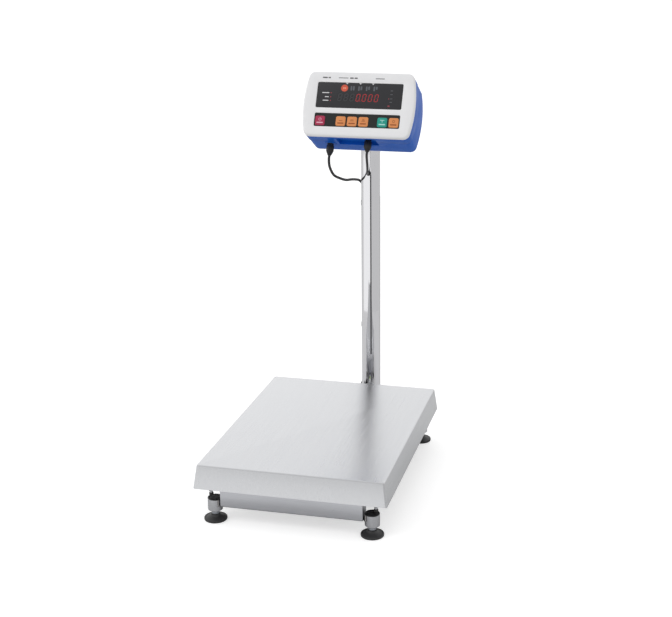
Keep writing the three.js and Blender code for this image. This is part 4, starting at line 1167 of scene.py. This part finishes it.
def edged_plate(bm, outline_at, y0, y1, edge):
    """A plate with a small rounded edge at its front. outline_at(grow) gives its outline."""
    sections = [(y1, 0), (y0 + edge, 0), (y0 + edge * 0.3, -edge * 0.3), (y0, -edge)]
    loft(bm, [at_depth(outline_at(grow), y) for y, grow in sections])


bm = bmesh.new()
edged_plate(bm, lambda grow: panel_outline(WINDOW, grow), FACE, FACE + 0.002, 0.0004)
head_piece("window_plate", bm, smoked, "head", "window_smoked", "display_window")

DIGIT_HEIGHT = 0.0176
DIGIT_WIDTH = 0.0088
DIGIT_PITCH = 0.0137
DIGIT_SLANT = math.tan(math.radians(8))
SEGMENT = 0.0017
BARS = {  # each segment's ends on a 2 by 1 grid, in digit widths and half heights
    "a": ((0, 2), (1, 2)), "b": ((1, 2), (1, 1)), "c": ((1, 1), (1, 0)), "d": ((0, 0), (1, 0)),
    "e": ((0, 1), (0, 0)), "f": ((0, 2), (0, 1)), "g": ((0, 1), (1, 1)),
}


def draw_digit(bm, x, z, segments, y):
    """Some of the seven segments of a digit whose lower left corner is at x, z."""
    for key in segments:
        (u0, v0), (u1, v1) = BARS[key]
        inner_wide = DIGIT_WIDTH - SEGMENT
        inner_half = (DIGIT_HEIGHT - SEGMENT) / 2
        a = Vector((x + SEGMENT / 2 + u0 * inner_wide, z + SEGMENT / 2 + v0 * inner_half))
        b = Vector((x + SEGMENT / 2 + u1 * inner_wide, z + SEGMENT / 2 + v1 * inner_half))
        along = (b - a).normalized()
        across = Vector((-along.y, along.x)) * SEGMENT / 2
        gap = 0.0003
        near, far = a + along * gap, b - along * gap
        shape = [
            near, near + along * SEGMENT / 2 - across, far - along * SEGMENT / 2 - across, far,
            far - along * SEGMENT / 2 + across, near + along * SEGMENT / 2 + across,
        ]
        inlay(bm, [(p.x + (p.y - z) * DIGIT_SLANT, p.y) for p in shape], y)


mark_y = FACE - 0.00002
digits_x = -0.0082
digits_z = 0.0062
glow = {"Emission_Color": hex_colour("#d8343a"), "Emission_Strength": 0.12}
lit_red = ink("lit_red_segments", "#a02028", Roughness=0.35, **glow)
unlit = ink("unlit_segments", "#343437", Roughness=0.3)
bm = bmesh.new()
for i in range(4):
    draw_digit(bm, digits_x + i * DIGIT_PITCH, digits_z, "abcdef", mark_y)
inlay(bm, disc_mark(digits_x + DIGIT_WIDTH + 0.0018, digits_z + 0.0009, 0.0009, 16), mark_y)
head_piece("lit_digits", bm, lit_red, "head", "key_red")
bm = bmesh.new()
for i in range(1, 4):
    draw_digit(bm, digits_x - i * DIGIT_PITCH, digits_z, "abcdefg", mark_y)
for i in range(4):
    draw_digit(bm, digits_x + i * DIGIT_PITCH, digits_z, "g", mark_y)
head_piece("unlit_digits", bm, unlit, "head", "window_smoked")

LAMP_Z = 0.0362
LAMP_XS = (-0.0353, -0.0171, 0.0001, 0.0175, 0.0346)
glow = {"Emission_Color": hex_colour("#f0552c"), "Emission_Strength": 0.12}
lit_lamp = ink("lit_orange_lamp", "#c4523a", Roughness=0.35, **glow)
bm = bmesh.new()
inlay(bm, disc_mark(LAMP_XS[0], LAMP_Z, 0.0079), mark_y)
head_piece("lit_lamp", bm, lit_lamp, "head", "key_orange")
bm = bmesh.new()
lamp_x, over_y = LAMP_XS[0], mark_y - 0.00006
inlay(bm, box_mark(lamp_x - 0.0030, LAMP_Z - 0.0022, lamp_x - 0.0006, LAMP_Z + 0.0022), over_y)
inlay(bm, disc_mark(lamp_x + 0.0020, LAMP_Z, 0.0019, 16), over_y)
head_piece("lit_lamp_mark", bm, ink("lamp_mark", "#f5a184", Roughness=0.4), "head", "key_orange")
bm = bmesh.new()
for i, x in enumerate(LAMP_XS[1:]):
    inlay(bm, box_mark(x - 0.0046, LAMP_Z - 0.0052, x - 0.0010, LAMP_Z + 0.0052, 0.0012), mark_y)
    inlay(bm, box_mark(x + 0.0006, LAMP_Z - 0.0048 + 0.001 * i, x + 0.0046, LAMP_Z + 0.0052, 0.0016), mark_y)
head_piece("unlit_lamps", bm, ink("unlit_lamp_print", "#5b5e64", Roughness=0.4), "head", "window_smoked")
bm = bmesh.new()
for x in (-0.0304, -0.0001, 0.0284):
    inlay(bm, [(x - 0.0032, 0.0487), (x + 0.0032, 0.0487), (x, 0.0452)], mark_y)
for x0, z in ((-0.0850, 0.0247), (-0.0780, 0.0153), (-0.0820, 0.0070)):
    inlay(bm, box_mark(x0, z - 0.0010, -0.0690, z + 0.0010, 0.0008), mark_y)
head_piece("white_print", bm, ink("white_print", "#dcdcde", Roughness=0.45), "head", "bezel_white")
bm = bmesh.new()
for z in (0.0247, 0.0153, 0.0070):
    inlay(bm, disc_mark(-0.0647, z, 0.0013, 16), mark_y)
inlay(bm, disc_mark(0.0665, 0.0143, 0.0011, 16), mark_y)
inlay(bm, box_mark(0.0655, -0.0036, 0.0700, -0.0008, 0.0008), mark_y)
head_piece("red_print", bm, ink("dull_red_print", "#9c3a44", Roughness=0.45), "head", "key_red")
bm = bmesh.new()
for z in (0.0328, 0.0243, 0.0145, 0.0068):
    inlay(bm, box_mark(0.0690, z - 0.0008, 0.0745, z + 0.0008, 0.0006), mark_y)
head_piece("dim_print", bm, ink("dim_grey_print", "#5a5b60", Roughness=0.45), "head", "window_smoked")

# ---------------------------------------------------------------- display head: keys
# Membrane strip of textured polyester over six domed keys of coloured silicone, each with its printed mark.

KEY_SIZE = 0.022
KEY_CORNER = 0.004
KEY_Z = -0.0399
KEY_PROUD = 0.0012
KEY_GAP = 0.0003
KEYS = (
    ("power", -0.0829, "key_red", "#ae284e", "#9b2145", "#e6acbe"),
    ("left", -0.0360, "key_orange", "#e1945a", "#d78549", "#9e5222"),
    ("middle", -0.0105, "key_orange", "#e1945a", "#d78549", "#9e5222"),
    ("right", 0.0150, "key_orange", "#e1945a", "#d78549", "#9e5222"),
    ("tare", 0.0573, "key_green", "#149e8d", "#109080", "#b2e4dc"),
    ("zero", 0.0829, "key_orange", "#e1945a", "#d78549", "#9e5222"),
)


def key_outline(x, grow):
    """Outline of one key."""
    half = KEY_SIZE / 2 + grow
    return [(x + a, KEY_Z + b) for a, b in round_rectangle(half, half, KEY_CORNER + grow, 6)]


strip_film = moulded("textured_polyester_film", ("#101311", "#171a18"), (0.5, 0.62), 0.0004, 0.000015)
bm = bmesh.new()
rim = [(0, FACE + 0.002), (0, FACE + 0.0003), (-0.0003, FACE)]
strip_rows = [loft(bm, [at_depth(panel_outline(KEY_STRIP, grow), y) for grow, y in rim], False, False)]
for _, x, *_ in KEYS:
    hole = [at_depth(key_outline(x, KEY_GAP), y) for y in (FACE + 0.002, FACE)]
    strip_rows.append(loft(bm, hole, False, False))
for end in (0, -1):
    fill_flat(bm, [rows[end] for rows in strip_rows])
head_piece("key_strip_film", bm, strip_film, "head", "strip_dark", "key_panel")


def key_mark(bm, name, x, y):
    """A generic mark for a key: a sign above, and a bar where its word would be."""
    inlay(bm, box_mark(x - 0.0072, KEY_Z - 0.0062, x + 0.0072, KEY_Z - 0.0034, 0.0008), y)
    high = KEY_Z + 0.0030
    if name == "power":
        outside = arc(x, high, 0.0034, math.radians(125), math.radians(415), 18, True)
        inside = arc(x, high, 0.0025, math.radians(415), math.radians(125), 18, True)
        inlay(bm, outside + inside, y)
        inlay(bm, box_mark(x - 0.0005, high, x + 0.0005, high + 0.0042), y)
    elif name == "tare":
        inlay(bm, box_mark(x - 0.0050, high + 0.0012, x + 0.0050, high + 0.0026), y)
        inlay(bm, box_mark(x - 0.0008, high - 0.0030, x + 0.0008, high + 0.0010), y)
    elif name == "zero":
        ring = ((0.0030, y), (0.0030, y - 0.00006), (0.0020, y - 0.00006), (0.0020, y))
        loft(bm, [at_depth(disc_mark(x, high, radius, 24), at) for radius, at in ring], around=True)
    else:
        for k in range({"left": 1, "middle": 2, "right": 3}[name]):
            low = high - 0.0026 + 0.0024 * k
            inlay(bm, box_mark(x - 0.0042 + 0.001 * k, low, x + 0.0042 - 0.001 * k, low + 0.0012), y)


for name, x, slot, colour, deep, mark in KEYS:
    silicone = moulded(f"silicone_{name}_key", (colour, deep), (0.40, 0.52), 0.0005, 0.00002)
    bm = bmesh.new()
    top = FACE - KEY_PROUD
    sections = [(FACE + 0.0035, 0), (top + 0.0009, 0), (top + 0.0004, -0.0003), (top + 0.0001, -0.0008)]
    loft(bm, [at_depth(key_outline(x, grow), y) for y, grow in sections + [(top, -0.0016)]])
    head_piece(f"key_{name}_dome", bm, silicone, f"key_{name}_cap", slot, f"key_{name}")
    bm = bmesh.new()
    key_mark(bm, name, x, top - 0.00001)
    printed = ink(f"{name}_key_print", mark, Roughness=0.5)
    head_piece(f"key_{name}_mark", bm, printed, f"key_{name}_cap", slot)

# ---------------------------------------------------------------- display head: boards
# Main board with its transformer and connectors, and the small board that carries the digits, both hidden
# in the housing. Green solder mask over copper tracks.

board_green, tree, shader, place = new_finish("green_solder_mask", "#1d5c3a", Roughness=0.35)
tracks = add_node(tree, "ShaderNodeTexBrick", {"Scale": 1 / 0.008, "Mortar Size": 0.06}, {"Vector": place})
for socket, colour in (("Color1", "#1a5535"), ("Color2", "#205f3e"), ("Mortar", "#3c8058")):
    tracks.inputs[socket].default_value = hex_colour(colour)
tree.links.new(tracks.outputs["Color"], shader.inputs["Base Color"])
raise_grain(tree, shader, tracks.outputs["Fac"], 0.00005)
for node in ("main_board", "digit_display"):
    repaint(node, board_green)

# ---------------------------------------------------------------- floor and light
# White studio: a pale floor that runs out of sight, an even white sky, a large soft key light from the upper
# left and a weaker one from the right. Cards that only gloss can see shade the reflections in the steel.

studio = bpy.data.collections.new("studio")
bpy.context.scene.collection.children.link(studio)


def flat_card(name, corners_at, material):
    """A flat four-cornered stage piece."""
    mesh = bpy.data.meshes.new(name)
    mesh.from_pydata(corners_at, [], [range(len(corners_at))])
    mesh.materials.append(material)
    card = bpy.data.objects.new(name, mesh)
    studio.objects.link(card)
    return card


floor_paint, tree, shader, place = new_finish("pale_studio_floor", "#d8d8d8", Roughness=0.9)
shader.inputs["Emission Color"].default_value = (1, 1, 1, 1)
seen = add_node(tree, "ShaderNodeLightPath").outputs["Is Camera Ray"]
glow = add_node(tree, "ShaderNodeMath", {1: 0.55}, {0: seen}, operation="MULTIPLY")
tree.links.new(glow.outputs[0], shader.inputs["Emission Strength"])
FLOOR = 60  # metres from the middle to each side
floor_corners = [(x * FLOOR, y * FLOOR, 0) for x, y in ((-1, -1), (1, -1), (1, 1), (-1, 1))]
flat_card("floor", floor_corners, floor_paint)


def gloss_card(name, value, corners_at):
    """A card seen in reflections only, glowing evenly."""
    paint, tree, shader, place = new_finish(f"{name}_paint", "#000000", Roughness=1.0)
    shader.inputs["Emission Color"].default_value = (1, 1, 1, 1)
    shader.inputs["Emission Strength"].default_value = value
    card = flat_card(name, corners_at, paint)
    card.visible_camera = False
    card.visible_diffuse = False
    card.visible_shadow = False
    card.visible_transmission = False


def round_pole(degrees, distance, height=0.002):
    """A point at a compass angle and a distance from the pole's axis: 0 is to the right, -90 in front."""
    turn = math.radians(degrees)
    return (pole_x + distance * math.cos(turn), pole_y + distance * math.sin(turn), height)


def floor_sector(name, value, start, end, near, far):
    """A gloss card on the floor between two compass angles and two distances from the pole."""
    steps = round((end - start) / 8)
    angles = [start + (end - start) * k / steps for k in range(steps + 1)]
    edge = [round_pole(a, near) for a in angles] + [round_pole(a, far) for a in angles[::-1]]
    gloss_card(name, value, edge)


LINE_FACING = -77  # compass angle of the dark strip that draws a line down the middle of the pole
LINE_OUT = POLE_RADIUS + 0.03
strip_corners = ((-5.5, 0.128), (5.5, 0.128), (5.5, 0.569), (-5.5, 0.569))
gloss_card("line_strip", 0.0, [round_pole(LINE_FACING + side, LINE_OUT, z) for side, z in strip_corners])
floor_sector("left_floor", 1.0, -175, LINE_FACING, 0.8, 3.4)
floor_sector("right_floor", 0.60, LINE_FACING, 45, 0.8, 3.4)
floor_sector("rear_floor", 0.34, 60, 125, 0.12, 2.4)

world = bpy.data.worlds.new("studio_sky")
bpy.context.scene.world = world
world.use_nodes = True
tree = world.node_tree
tree.nodes.clear()
direction = add_node(tree, "ShaderNodeTexCoord").outputs["Generated"]
slope = add_node(
    tree, "ShaderNodeVectorMath", {1: (-0.17, 0.22, 0.0)}, {0: direction}, operation="DOT_PRODUCT"
)
level = add_node(tree, "ShaderNodeMath", {1: 0.89}, {0: slope.outputs["Value"]}, operation="ADD")
seen = add_node(tree, "ShaderNodeLightPath").outputs["Is Camera Ray"]
strength = add_node(tree, "ShaderNodeMix", {3: 1.1}, {0: seen, 2: level.outputs[0]}, data_type="FLOAT")
sky = add_node(tree, "ShaderNodeBackground", {"Color": (1, 1, 1, 1)}, {"Strength": strength.outputs[0]})
add_node(tree, "ShaderNodeOutputWorld", links={"Surface": sky.outputs[0]})


def soft_light(name, location, target, size, power):
    """A square soft box that points at the scale."""
    data = bpy.data.lights.new(name, "AREA")
    data.size = size
    data.energy = power
    light = bpy.data.objects.new(name, data)
    light.location = location
    light.rotation_euler = (Vector(target) - Vector(location)).to_track_quat("-Z", "Y").to_euler()
    studio.objects.link(light)
    light.visible_glossy = False


soft_light("key_light", (-2.2, -2.0, 2.8), (0, 0, 0.3), 1.8, 26)
soft_light("fill_light", (2.6, -1.6, 1.8), (0, 0, 0.4), 1.6, 3)
